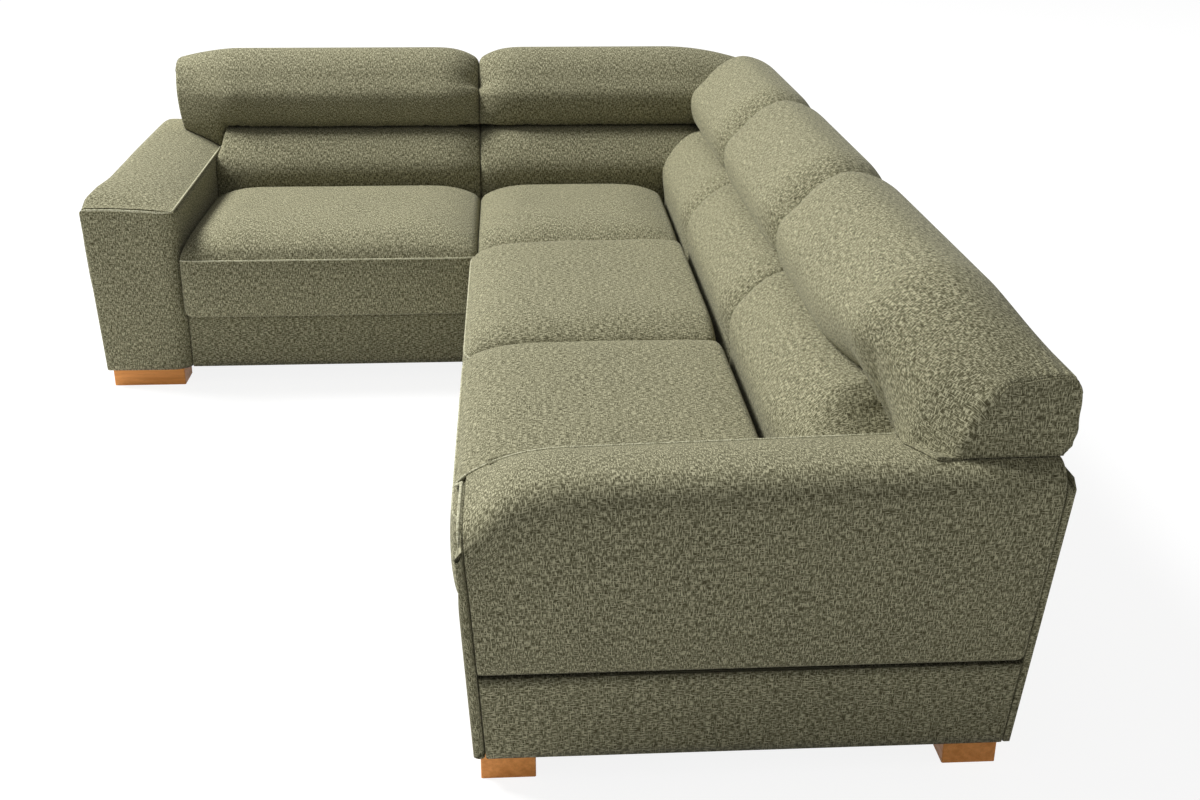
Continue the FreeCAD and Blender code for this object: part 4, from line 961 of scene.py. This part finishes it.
# %% Pillow
LEFT_OVER_ARM = 0.142
NEAR_OVER_ARM = 0.222
PILLOW_ROLL = 0.016
PILLOW_SPINE = ((0.84, 0.76), (0.95, 0.76))
OVER_ARM_SPINE = ((0.95, 0.66), (1.00, 0.67))
OVER_ARM_ROLLS = np.array([0.008, 0.010, 0.014, 0.018, 0.016, 0.010] + [0.008] * 14)
PILLOW_END_GATHERS = 0.0055
PILLOW_CREASE_GATHERS = 0.0050
END_SEAM = 0.0018
END_SEAM_DROP = 0.035


def make_pillow(label, wing, low, high, seed, arm_in=None, give=0.0, end=None, sag=0.0, stop=None):
    """Top pillow; one that runs over an arm passes into its end section over the overhang."""
    low, high = low + GAP, high - GAP
    weights, columns = ring_weights(pillow_controls(FULL)[0], PILLOW_CORNERS, SPACING)
    over_arm = arm_in is not None
    roll_low = np.clip(weights @ OVER_ARM_ROLLS, 0.006, 0.020) if over_arm else PILLOW_ROLL

    def section_at(from_low, from_high):
        high_full = fullness(from_high, PILLOW_REACH)
        if not over_arm:
            full = np.minimum(fullness(from_low, PILLOW_REACH), high_full)
            return swept(weights, pillow_controls(full))
        passed = np.clip(from_low / (arm_in - low + 0.060), 0, 1)
        share = (1 - (1 - passed) ** 1.5)[:, None, None]
        return (weights @ end) * (1 - share) + swept(weights, pillow_controls(high_full)) * share

    spine = OVER_ARM_SPINE if over_arm else PILLOW_SPINE
    along, section = pad_surface(low, high, SPACING, roll_low, PILLOW_ROLL, section_at, spine)
    deep, tall = section[..., 0], section[..., 1]
    if over_arm:
        deep, tall = laid_on_arm(arm_in - along, deep, tall, give)
    if sag:
        tall = hung_at_corner(along, deep, tall, high, sag)
    if stop is not None:
        along = np.minimum(along, stop(tall) - SOFT_GAP)
    rings = place(wing, along, deep, tall)
    rings = gathered(
        rings, along, low, high, columns[0], PILLOW_END_GATHERS, PILLOW_CREASE_GATHERS, seed, wing)
    pillow = skin(f"{label}_top_pillow", rings, CAP_ROWS)
    hand_over(pillow, cover_cloth, BASE, (f"{label}_pillow",))
    if over_arm:
        edge = rings[CAP_ROWS + 1]
        upper = np.nonzero(edge[:, 2] > edge[:, 2].max() - END_SEAM_DROP)[0]
        welt(f"{label}_pillow_end_seam", edge[upper[0]:upper[-1]], END_SEAM, BASE, cover_cloth)


pillow_face = front_of(pillow_controls(FULL)[0][:8])
make_pillow("left", "left", LEFT_ARM_IN - LEFT_OVER_ARM, -JOIN, 31, LEFT_ARM_IN, 0.035, LEFT_END)
make_pillow("corner_left", "left", -JOIN, 1.050, 32, sag=0.030)
make_pillow("corner_right", "right", -JOIN, 0.780, 33, stop=pillow_face)
make_pillow("middle", "right", SEAT_SPLIT, -JOIN, 34)
make_pillow("near", "right", NEAR_ARM_IN - NEAR_OVER_ARM, SEAT_SPLIT, 35, NEAR_ARM_IN, 0.110, NEAR_END)

# %% [markdown]
# ## Arms
# A padded cover lies over the arm like a saddle: it starts at a piped seam on the inner edge,
# crosses the dome, rounds the outer shoulder and hangs down the side to a groove. It could be a
# bevelled box, but the dome and the leaning sides need other radii at each place, so it is swept
# from front to back as the pads are. Its ends follow the leaning front and back planes.

# %% Arm section
GROOVE = 0.230
LEAN_HEIGHT = 0.501
FRONT_LEAN = 0.028 / LEAN_HEIGHT
SIDE_LEAN = ARM_SIDE_LEAN / LEAN_HEIGHT
REAR_RAKE = 0.049 / LEAN_HEIGHT
FOOT = 0.055
FACING_THICK = 0.020
BASE_DEEP = 1.000
BACK_PANEL = 0.014
ARM_CORNERS = [0, 15, 16, 18, 20]


def front_plane(tall):
    """Deep of the leaning front of the arms at a height."""
    return -(tall - FOOT) * FRONT_LEAN


def back_plane(tall):
    """Deep of the raked back of the base at a height."""
    return BASE_DEEP + (tall - FOOT) * REAR_RAKE


def arm_controls(deep, corner):
    """Across and tall of an arm pad's section: dome, shoulder, side, tucked edge and inside."""
    seam, crown = arm_rise(deep)
    wide = ARM_OUTER
    round_by = shoulder_at(deep, corner)
    crest = wide - round_by
    inside = [(crest * share, arm_top(crest * share, deep, corner)) for share in (0.0, 0.25, 0.5, 0.75)]
    turns = [math.pi / 2 * share for share in (1.0, 0.8, 0.6, 0.4, 0.2, 0.0)]
    shoulder = [(crest + round_by * math.cos(turn), seam + crown - round_by * (1 - math.sin(turn)))
                for turn in turns]
    side = [(wide + 0.003, seam - 0.080), (wide + 0.002, seam - 0.150), (wide, seam - 0.215),
            (wide - 0.005, seam - 0.275), (wide - 0.008, GROOVE + 0.016), (wide - 0.018, GROOVE + 0.001)]
    hidden = [(ARM_WIDE - 0.036, GROOVE + 0.003), (ARM_WIDE - 0.036, 0.360), (ARM_WIDE - 0.036, 0.504),
              (0.120, 0.504), (FACING_THICK + 0.002, 0.504)]
    return stacked(inside + shoulder + side + hidden)

# %% Arm pad
ARM_SPINE = ((0.235, 0.30), (0.225, 0.515))
ARM_FRONT_ROLL = 0.003
ARM_REAR_ROLL = 0.010
ARM_ROLL_STEPS = 9
ARM_BODY_ROWS = 123
ARM_CAP_CENTRE = 0.10
ARM_COLUMN = 0.0075
ARM_WELT = 0.0032
WELT_OUT = 0.0036
PULL_LOW = 0.36
PULL_HIGH = 0.54
NEAR_PULL = 0.062


def pulled_down(tall, deep, pull):
    """Heights near the front of an arm, lowered where its stuffing gives way under the facing."""
    near_front = (1 - ramp(deep, -0.03, 0.19)) ** 2.5
    return tall - pull * near_front * smooth(ramp(tall, PULL_LOW, PULL_HIGH))


def moved(points, wing, along=0.0, deep=0.0, tall=0.0):
    """Points moved along, deep and up on a wing."""
    return points + place(wing, along, deep, tall) - place(wing, 0.0, 0.0, 0.0)


def make_arm_pad(label, wing, arm_in, corner, pull):
    """Arm pad: the section at each depth, drawn in at both ends, and a welt along its inner seam."""
    weights, columns = ring_weights(arm_controls(np.array([0.5]), corner)[0], ARM_CORNERS, ARM_COLUMN)
    turned, shrink = end_rows(ARM_ROLL_STEPS, ARM_BODY_ROWS)
    shrink[[0, -1]] = ARM_CAP_CENTRE
    share = end_shares(ARM_ROLL_STEPS, ARM_BODY_ROWS)
    section = swept(weights, arm_controls(share, corner))
    share = share[:, None]
    roll = np.where(share == 0, ARM_FRONT_ROLL, ARM_REAR_ROLL)
    inset = roll * (1 - np.sin(turned))[:, None]
    visible = (np.arange(len(weights)) <= columns[15])[None, :, None]
    section = np.where(visible, draw_in(section, ARM_SPINE, inset, shrink), section)
    across, tall = section[..., 0], section[..., 1]
    front = front_plane(tall) + FACING_THICK + 0.001
    back = back_plane(tall) - BACK_PANEL - 0.001
    sunk = roll * (1 - np.cos(turned))[:, None]
    between = front + ARM_FRONT_ROLL + (back - ARM_REAR_ROLL - front - ARM_FRONT_ROLL) * share
    deep = np.where(share == 0, front + sunk, np.where(share == 1, back - sunk, between))
    rings = place(wing, arm_in - across, deep, pulled_down(tall, deep, pull))
    hand_over(skin(f"{label}_arm_saddle", rings, CAP_ROWS), cover_cloth, BASE, (f"{label}_arm_pad",))
    seam = rings[CAP_ROWS + 1:-CAP_ROWS - 1, columns[0]]
    welt(f"{label}_arm_top_welt", moved(seam, wing, along=-WELT_OUT, tall=0.0016), ARM_WELT, BASE)


make_arm_pad("left", "left", LEFT_ARM_IN, 0.018, 0.0)
make_arm_pad("near", "right", NEAR_ARM_IN, ARM_SHOULDER, NEAR_PULL)

# %% [markdown]
# ## Upholstered panels
# Rails, base panels and backs are boards wrapped in cloth over thin wadding. A cube with a bevel
# modifier would do, but it would have to be sheared for every lean. Here a rounded rectangle is
# stacked over the panel's height with its ends rolled in, a faint swell is added, and the rows
# are moved with their height, so that each face can lean by its own amount.

# %% Rounded slab
SLAB_TURNS = np.linspace(0, math.pi / 2, 5)


def slab_ring(size, edge, counts):
    """Rounded rectangle in plan: four straight runs, each followed by a quarter circle."""
    wide, thick = size[0], size[1]
    across = np.linspace(edge, wide - edge, counts[0] + 1)
    through = np.linspace(edge, thick - edge, counts[1] + 1)
    runs = [(across, 0), (wide, through), (across[::-1], thick), (0, through[::-1])]
    centres = [(wide - edge, edge), (wide - edge, thick - edge), (edge, thick - edge), (edge, edge)]
    ring = []
    for quarter, (run, centre) in enumerate(zip(runs, centres)):
        turn = (quarter - 1) * math.pi / 2 + SLAB_TURNS[1:-1]
        ring.append(np.stack(np.broadcast_arrays(*run), axis=-1))
        ring.append(np.stack([centre[0] + edge * np.cos(turn), centre[1] + edge * np.sin(turn)], axis=-1))
    return np.vstack(ring)


def slab_surface(size, edge, swell, spacing):
    """Rounded box of a size with a corner at zero, as rings stacked in height.

    A row in the roll shrinks the ring by the sine of its angle over the edge radius, and the two
    outermost rows at each end close the flat top and bottom. The swell follows the roots of the
    sines along the panel and up it.
    """
    counts = [max(2, round(length / spacing)) for length in size]
    ring = slab_ring(size, edge, counts)
    middle = size[:2] / 2
    inner = np.clip(ring, edge, size[:2] - edge)
    rows = np.concatenate([SLAB_TURNS, np.full(counts[2] - 1, math.pi / 2), SLAB_TURNS[::-1]])
    shape = inner + (ring - inner) * np.sin(rows)[:, None, None]
    closing = np.array([0.3, 0.75])[:, None, None]
    flat_low = middle + (shape[0] - middle) * closing
    flat_high = middle + (shape[-1] - middle) * closing[::-1]
    plan = np.concatenate([flat_low, shape, flat_high])

    rolled = edge * (1 - np.sin(SLAB_TURNS))
    upright = np.linspace(edge, size[2] - edge, counts[2] + 1)[1:-1]
    tall = np.concatenate([rolled[[0, 0]], rolled, upright, size[2] - rolled[::-1], size[2] - rolled[[0, 0]]])
    tall = np.broadcast_to(tall[:, None, None], plan.shape[:2] + (1,))
    points = np.concatenate([plan, tall], axis=2)
    height = np.sin(math.pi * np.clip(points / size, 0, 1)) ** 0.5
    aside = np.clip((points[..., 1] - middle[1]) / middle[1], -1, 1)
    points[..., 1] += swell * height[..., 0] * height[..., 2] * aside
    return points

# %% Panel
def make_panel(name, wing, low, high, edge, swell, stands_for, lean_low=(0, 0), lean_high=(0, 0),
               shape=None, cloth=cover_cloth, spacing=0.02):
    """Upholstered slab between two corners (along, deep, tall), which stands for one node.

    A lean moves the low and the high faces of a direction by so much for each metre of height;
    shape is a function that moves the points before they lean.
    """
    low = np.array(low)
    size = np.array(high) - low
    points = slab_surface(size, min(edge, 0.49 * size.min()), swell, spacing) + low
    if shape is not None:
        points = shape(points)
    share = np.clip((points - low) / size, 0, 1)[..., :2]
    rise = (points[..., 2] - low[2])[..., None]
    along, deep = np.moveaxis(points[..., :2] + rise * (lean_low * (1 - share) + lean_high * share), -1, 0)
    panel = skin(name, place(wing, along, deep, points[..., 2]))
    hand_over(panel, cloth, BASE, (stands_for,))


# %% [markdown]
# ## Front rails, arm base panels and inner panels
# Below the seats a padded rail runs between the arms, a little behind the arm fronts. Below each
# arm's groove the base panel is flat and leans out with the side, and an inner panel closes the
# arm beside the seat. All are slabs; only the inner panel needs a shaping step, because its top
# has to follow the arm's rising seam.

# %% Rails, base panels and inner panels
RAIL_FRONT = 0.022
RAIL_THICK = 0.018
GROOVE_WALL = 0.036
PANEL_BACK = BASE_DEEP - BACK_PANEL
for label, wing in (("left", "left"), ("right", "right")):
    low, high = box_span(f"{label}_front_rail_panel", wing)
    make_panel(f"{label}_front_rail", wing, (low[0], RAIL_FRONT, FOOT),
               (high[0], RAIL_FRONT + RAIL_THICK, high[2]), 0.007, 0.003,
               f"{label}_front_rail_panel")

ARMS = (("left", "left", LEFT_ARM_IN, 0.0), ("near", "right", NEAR_ARM_IN, NEAR_PULL))
for label, wing, arm_in, pull in ARMS:
    outer = arm_in - ARM_WIDE
    make_panel(f"{label}_arm_base", wing, (outer, FACING_THICK + 0.0015, FOOT),
               (outer + GROOVE_WALL, PANEL_BACK - 0.0015, GROOVE - 0.001), 0.005, 0.0,
               f"{label}_arm_base_panel", (-SIDE_LEAN, -FRONT_LEAN), (-SIDE_LEAN, REAR_RAKE))
    bottom = FOOT + 0.002

    def follow_seam(points, bottom=bottom, pull=pull):
        """Points raised by the seam's rise in proportion to their height, then pulled down."""
        points = points.copy()
        share = (points[..., 2] - bottom) / (ARM_SEAM - bottom)
        points[..., 2] += share * ARM_SEAM_RISE * points[..., 1]
        points[..., 2] = pulled_down(points[..., 2], points[..., 1], pull)
        return points

    make_panel(f"{label}_arm_inner", wing, (arm_in - FACING_THICK, 0.061, bottom),
               (arm_in, PANEL_BACK - 0.002, ARM_SEAM - 0.001), 0.003, 0.0,
               f"{label}_arm_inner_panel", (0, -FRONT_LEAN), (0, REAR_RAKE), follow_seam)

# %% [markdown]
# ## Arm facings
# The facing is one padded panel over the arm's front, with a domed top, that rounds the inner
# edge and wraps back beside the seat. A solidified sheet would give it a thickness, but also
# sharp rims. Here its plan is a closed path with a quarter circle in it, and the path is carried
# up a leaning plane. The left one has a tight outer corner at its top, the near one a wide one.

# %% Facing plan
def facing_plan(wide, edge, thick, radius, wrap):
    """Closed plan of a facing: front, quarter circle, wrapped return, and the same path inside."""
    steps = np.linspace(wide - edge, radius, 16)
    quarter = np.linspace(0, math.pi / 2, 9)
    outer = [(step, 0.0) for step in steps]
    outer += [(radius - radius * math.sin(a), radius - radius * math.cos(a)) for a in quarter[1:]]
    outer += [(0.0, radius + (wrap - 0.003 - radius) * share) for share in (0.5, 1.0)]
    outer += [(0.001, wrap - 0.001), (0.004, wrap)]
    inside = radius - thick
    inner = [(thick - 0.004, wrap), (thick, wrap - 0.003)]
    inner += [(radius - inside * math.sin(a), radius - inside * math.cos(a)) for a in quarter[::-1]]
    inner += [(step, thick) for step in np.linspace(radius, wide - edge, 16)[1:]]
    turn = np.linspace(math.pi / 2, -math.pi / 2, 9)[1:-1]
    cap = [(wide - edge + edge * math.cos(a), thick / 2 + thick / 2 * math.sin(a)) for a in turn]
    return np.array(outer + inner + cap)

# %% Arm facing
FACING_WRAP = 0.060
FACING_RADIUS = 0.045
FACING_EDGE = 0.009
FACING_ROWS = 44
FACING_TURNS = 5
FACING_ROLL = 0.005
FRONT_COLUMNS = 27
FACE_DEPTH = 0.002
FACING_WELT_OUT = 0.004


def make_facing(label, wing, arm_in, corner, pull, puff, taper=0.0):
    """Facing with a round top corner; pull lowers its top and puff is the swell of its front.

    taper is how much thinner it is at its top than at its bottom.
    """
    plan = facing_plan(ARM_WIDE, FACING_EDGE, FACING_THICK, FACING_RADIUS, FACING_WRAP)
    across, depth = plan[:, 0], plan[:, 1]
    turns = np.linspace(0, math.pi / 2, FACING_TURNS + 1)[:-1]
    ends = np.zeros(FACING_TURNS), np.ones(FACING_TURNS)
    share = np.concatenate([ends[0], np.linspace(0, 1, FACING_ROWS), ends[1]])[:, None]
    tuck = np.concatenate([1 - np.sin(turns), np.zeros(FACING_ROWS), 1 - np.sin(turns[::-1])])[:, None]
    out = np.clip(across / ARM_WIDE, 0, 1)
    top = arm_top(out * (ARM_OUTER - 0.02 * corner), 0.0, corner) - 0.001
    tall = FOOT + FACING_ROLL + share * (top - FOOT - 2 * FACING_ROLL)
    tall = np.where(share == 0, FOOT + FACING_ROLL * tuck, tall)
    tall = np.where((share == 1) & (tuck > 0), top - FACING_ROLL * tuck, tall)
    on_face = np.where(depth <= FACE_DEPTH, 1.0, 0.0)
    upright = ramp(share, 1, 0.5) ** 0.7
    swell = puff * np.sin(math.pi * np.clip(across / ARM_OUTER, 0, 1)) ** 0.6 * upright
    thinner = taper * ramp(tall, PULL_LOW, PULL_HIGH) ** 1.5
    deep = front_plane(tall) + depth + (FACING_ROLL * tuck + thinner - swell) * on_face
    lean = out * (tall - FOOT) * SIDE_LEAN
    rings = place(wing, arm_in - across - lean, deep, pulled_down(tall, deep, pull))
    facing = skin(f"{label}_arm_front", rings, turn_uv=True)
    hand_over(facing, cover_cloth, BASE, (f"{label}_arm_facing",))
    top_row = rings[FACING_TURNS + FACING_ROWS - 1, :FRONT_COLUMNS]
    seam = moved(top_row, wing, deep=-FACING_WELT_OUT, tall=FACING_ROLL)
    axis = along_axis(wing)
    limit = place(wing, arm_in - WELT_OUT, 0.0, 0.0)[axis]
    seam[:, axis] = np.minimum(seam[:, axis], limit)
    welt(f"{label}_arm_front_welt", seam, ARM_WELT, BASE)


make_facing("left", "left", LEFT_ARM_IN, 0.018, 0.0, 0.004)
make_facing("near", "right", NEAR_ARM_IN, ARM_SHOULDER, NEAR_PULL, 0.003, FACING_THICK - 0.003)

# %% [markdown]
# ## Outer backs, decks and dust covers
# The backs are flat boards in the same cloth, seen only from behind. Beside an arm they lean with
# its side, and their top corner stays under its round shoulder. Under the cushions there is a
# plain deck cloth over felt, and a black cloth is stapled under the frames. Slabs serve for all
# of them.

# %% Backs
BACK_TOP = 0.597
SHOULDER_SPAN = (0.18, 0.27)
BACKS = {
    "left_outer_back_panel": ("left", LEFT_ARM_IN, SIDE_LEAN, 0),
    "corner_left_outer_back_panel": ("left", LEFT_ARM_IN, 0, REAR_RAKE),
    "corner_right_outer_back_panel": ("right", NEAR_ARM_IN, 0, 0),
    "right_outer_back_panel": ("right", NEAR_ARM_IN, SIDE_LEAN, 0),
}
for name, (wing, arm_in, lean_out, lean_corner) in BACKS.items():
    low, high = box_span(name, wing)

    def under_shoulder(points, arm_in=arm_in, lean_out=lean_out):
        """Top corner kept below the round shoulder of the arm in front of it."""
        points = points.copy()
        across = arm_in - points[..., 0] + lean_out * (points[..., 2] - FOOT)
        limit = arm_top(np.clip(across, *SHOULDER_SPAN), BASE_DEEP) - SOFT_GAP
        points[..., 2] = np.minimum(points[..., 2], limit)
        return points

    foot_low = low[0] + lean_out * (BACK_TOP - FOOT)
    foot_high = high[0] - lean_corner * (BACK_TOP - FOOT)
    make_panel(name.replace("_panel", ""), wing, (foot_low, PANEL_BACK, FOOT),
               (foot_high, BASE_DEEP, BACK_TOP), 0.003, 0.0, name, (-lean_out, REAR_RAKE),
               (lean_corner, REAR_RAKE), under_shoulder if lean_out else None)

# %% Decks and dust covers
HIDDEN_CLOTHS = (
    ("_seat_deck", "_deck", 0.004, deck_cloth, "deck_cloth", 0.5),
    ("_dust_cover", "_dust_cloth", 0.0009, dust_cloth, "dust_cloth", 0.1),
)
for ending, new_ending, edge, cloth, finish, fill in HIDDEN_CLOTHS:
    for label, wing in (("left", "left"), ("corner", "left"), ("right", "right")):
        low, high = box_span(label + ending, wing)
        make_panel(label + new_ending, wing, low, high, edge, 0.0, label + ending,
                   cloth=cloth, spacing=0.05)

# %% [markdown]
# ## Floor, light and camera
# A pale floor carries the sofa's shadow. To the camera it is nearly white, as in the photograph:
# a paint alone would be grey, and a glow alone would show no shadow, so the camera sees a mix of
# the two. One large soft lamp stands high on the left, a little behind, and an even room light
# fills the shadows. The camera stands a little right of the inner corner, at standing eye height,
# and looks down on the seats.

# %% Floor
FLOOR_HALF = 30.0
FLOOR_GLOW = 1.16
GLOW_SHARE = 0.75


def seen_directly(tree):
    """1 on rays from the camera, in a reflection or through glass, and 0 on all other rays."""
    path = node(tree, "ShaderNodeLightPath")
    seen = math_node(tree, "MAXIMUM", path.outputs["Is Camera Ray"], path.outputs["Is Glossy Ray"])
    return math_node(tree, "MAXIMUM", seen, path.outputs["Is Transmission Ray"])


def show_blend(tree, output_kind, share, first, second):
    """Mix of two shaders sent to the surface of a new output."""
    output = node(tree, output_kind)
    blend = node(tree, "ShaderNodeMixShader")
    for target, source in zip(blend.inputs, (share, first.outputs[0], second.outputs[0])):
        link(tree, source, target)
    link(tree, blend.outputs[0], output.inputs["Surface"])


def make_floor():
    """Wide square at height 0 whose paint takes the shadow and whose glow lifts it to white."""
    mesh = bpy.data.meshes.new("studio_floor")
    ends = ((-1, -1), (1, -1), (1, 1), (-1, 1))
    mesh.from_pydata([(FLOOR_HALF * x, FLOOR_HALF * y, 0) for x, y in ends], [], [(0, 1, 2, 3)])
    floor = new_object("studio_floor", mesh)
    material = bpy.data.materials.new("pale_floor")
    material.use_nodes = True
    tree = material.node_tree
    tree.nodes.clear()
    paint = node(tree, "ShaderNodeBsdfDiffuse")
    paint.inputs["Color"].default_value = (0.86, 0.86, 0.86, 1)
    glow = node(tree, "ShaderNodeEmission")
    glow.inputs["Strength"].default_value = FLOOR_GLOW
    share = math_node(tree, "MULTIPLY", seen_directly(tree), GLOW_SHARE)
    show_blend(tree, "ShaderNodeOutputMaterial", share, paint, glow)
    mesh.materials.append(material)


make_floor()
print("floor", 2 * FLOOR_HALF, "m wide")


# %% Light
def plain_background(tree, level):
    """White background of a brightness."""
    made = node(tree, "ShaderNodeBackground")
    made.inputs["Color"].default_value = (1, 1, 1, 1)
    made.inputs["Strength"].default_value = level
    return made


def make_world(level):
    """Room that lights the sofa evenly at a level, and that the camera sees as white."""
    world = bpy.data.worlds.new("soft_room")
    bpy.context.scene.world = world
    world.use_nodes = True
    tree = world.node_tree
    tree.nodes.clear()
    room = plain_background(tree, level)
    white = plain_background(tree, 1.0)
    show_blend(tree, "ShaderNodeOutputWorld", seen_directly(tree), room, white)


def stand(name, data, spot, right, up, forward):
    """Object at a spot that looks forward; lamps and cameras look along their own -Z."""
    axes = np.stack([right, up, -forward, spot], axis=1)
    placed = new_object(name, data)
    placed.matrix_world = Matrix([*axes.tolist(), [0, 0, 0, 1]])
    return placed


def make_lamp(name, spot, target, size, watts):
    """Square area lamp at a spot, aimed at a target."""
    lamp = bpy.data.lights.new(name, "AREA")
    lamp.shape = "SQUARE"
    lamp.size = size
    lamp.energy = watts
    aim = np.array(target) - np.array(spot)
    aim = aim / np.linalg.norm(aim)
    side = np.cross(aim, (0, 0, 1))
    side = side / np.linalg.norm(side)
    stand(name, lamp, spot, side, np.cross(side, aim), aim)
    print(name, watts, "W, aimed along", aim.round(3))


make_world(0.29)
make_lamp("key_lamp", (-6.2, 2.7, 8.2), (0.3, -0.2, 0.4), 3.6, 1700)

# %% Camera
CAMERA_SPOT = (0.0896 + INNER_CORNER[0], -4.1945 + INNER_CORNER[1], 1.6655)
YAW = 0.0630
PITCH = 0.3925
ROLL = 0.0057
FOCAL_PIXELS = 1430.2
PHOTO_WIDTH = 1200


def make_camera():
    """Camera whose axes come from yaw, pitch and roll; the lens follows from the photograph."""
    level = math.cos(PITCH)
    forward = np.array([math.sin(YAW) * level, math.cos(YAW) * level, -math.sin(PITCH)])
    right = np.array([math.cos(YAW), -math.sin(YAW), 0.0])
    up = np.cross(right, forward)
    rolled_right = math.cos(ROLL) * right + math.sin(ROLL) * up
    rolled_up = -math.sin(ROLL) * right + math.cos(ROLL) * up
    lens = bpy.data.cameras.new("photo_camera")
    lens.sensor_width = 36.0
    lens.lens = lens.sensor_width * FOCAL_PIXELS / PHOTO_WIDTH
    camera = stand("photo_camera", lens, CAMERA_SPOT, rolled_right, rolled_up, forward)
    bpy.context.scene.camera = camera
    print("lens", round(lens.lens, 2), "mm")


make_camera()
bpy.context.scene.view_settings.view_transform = "Standard"
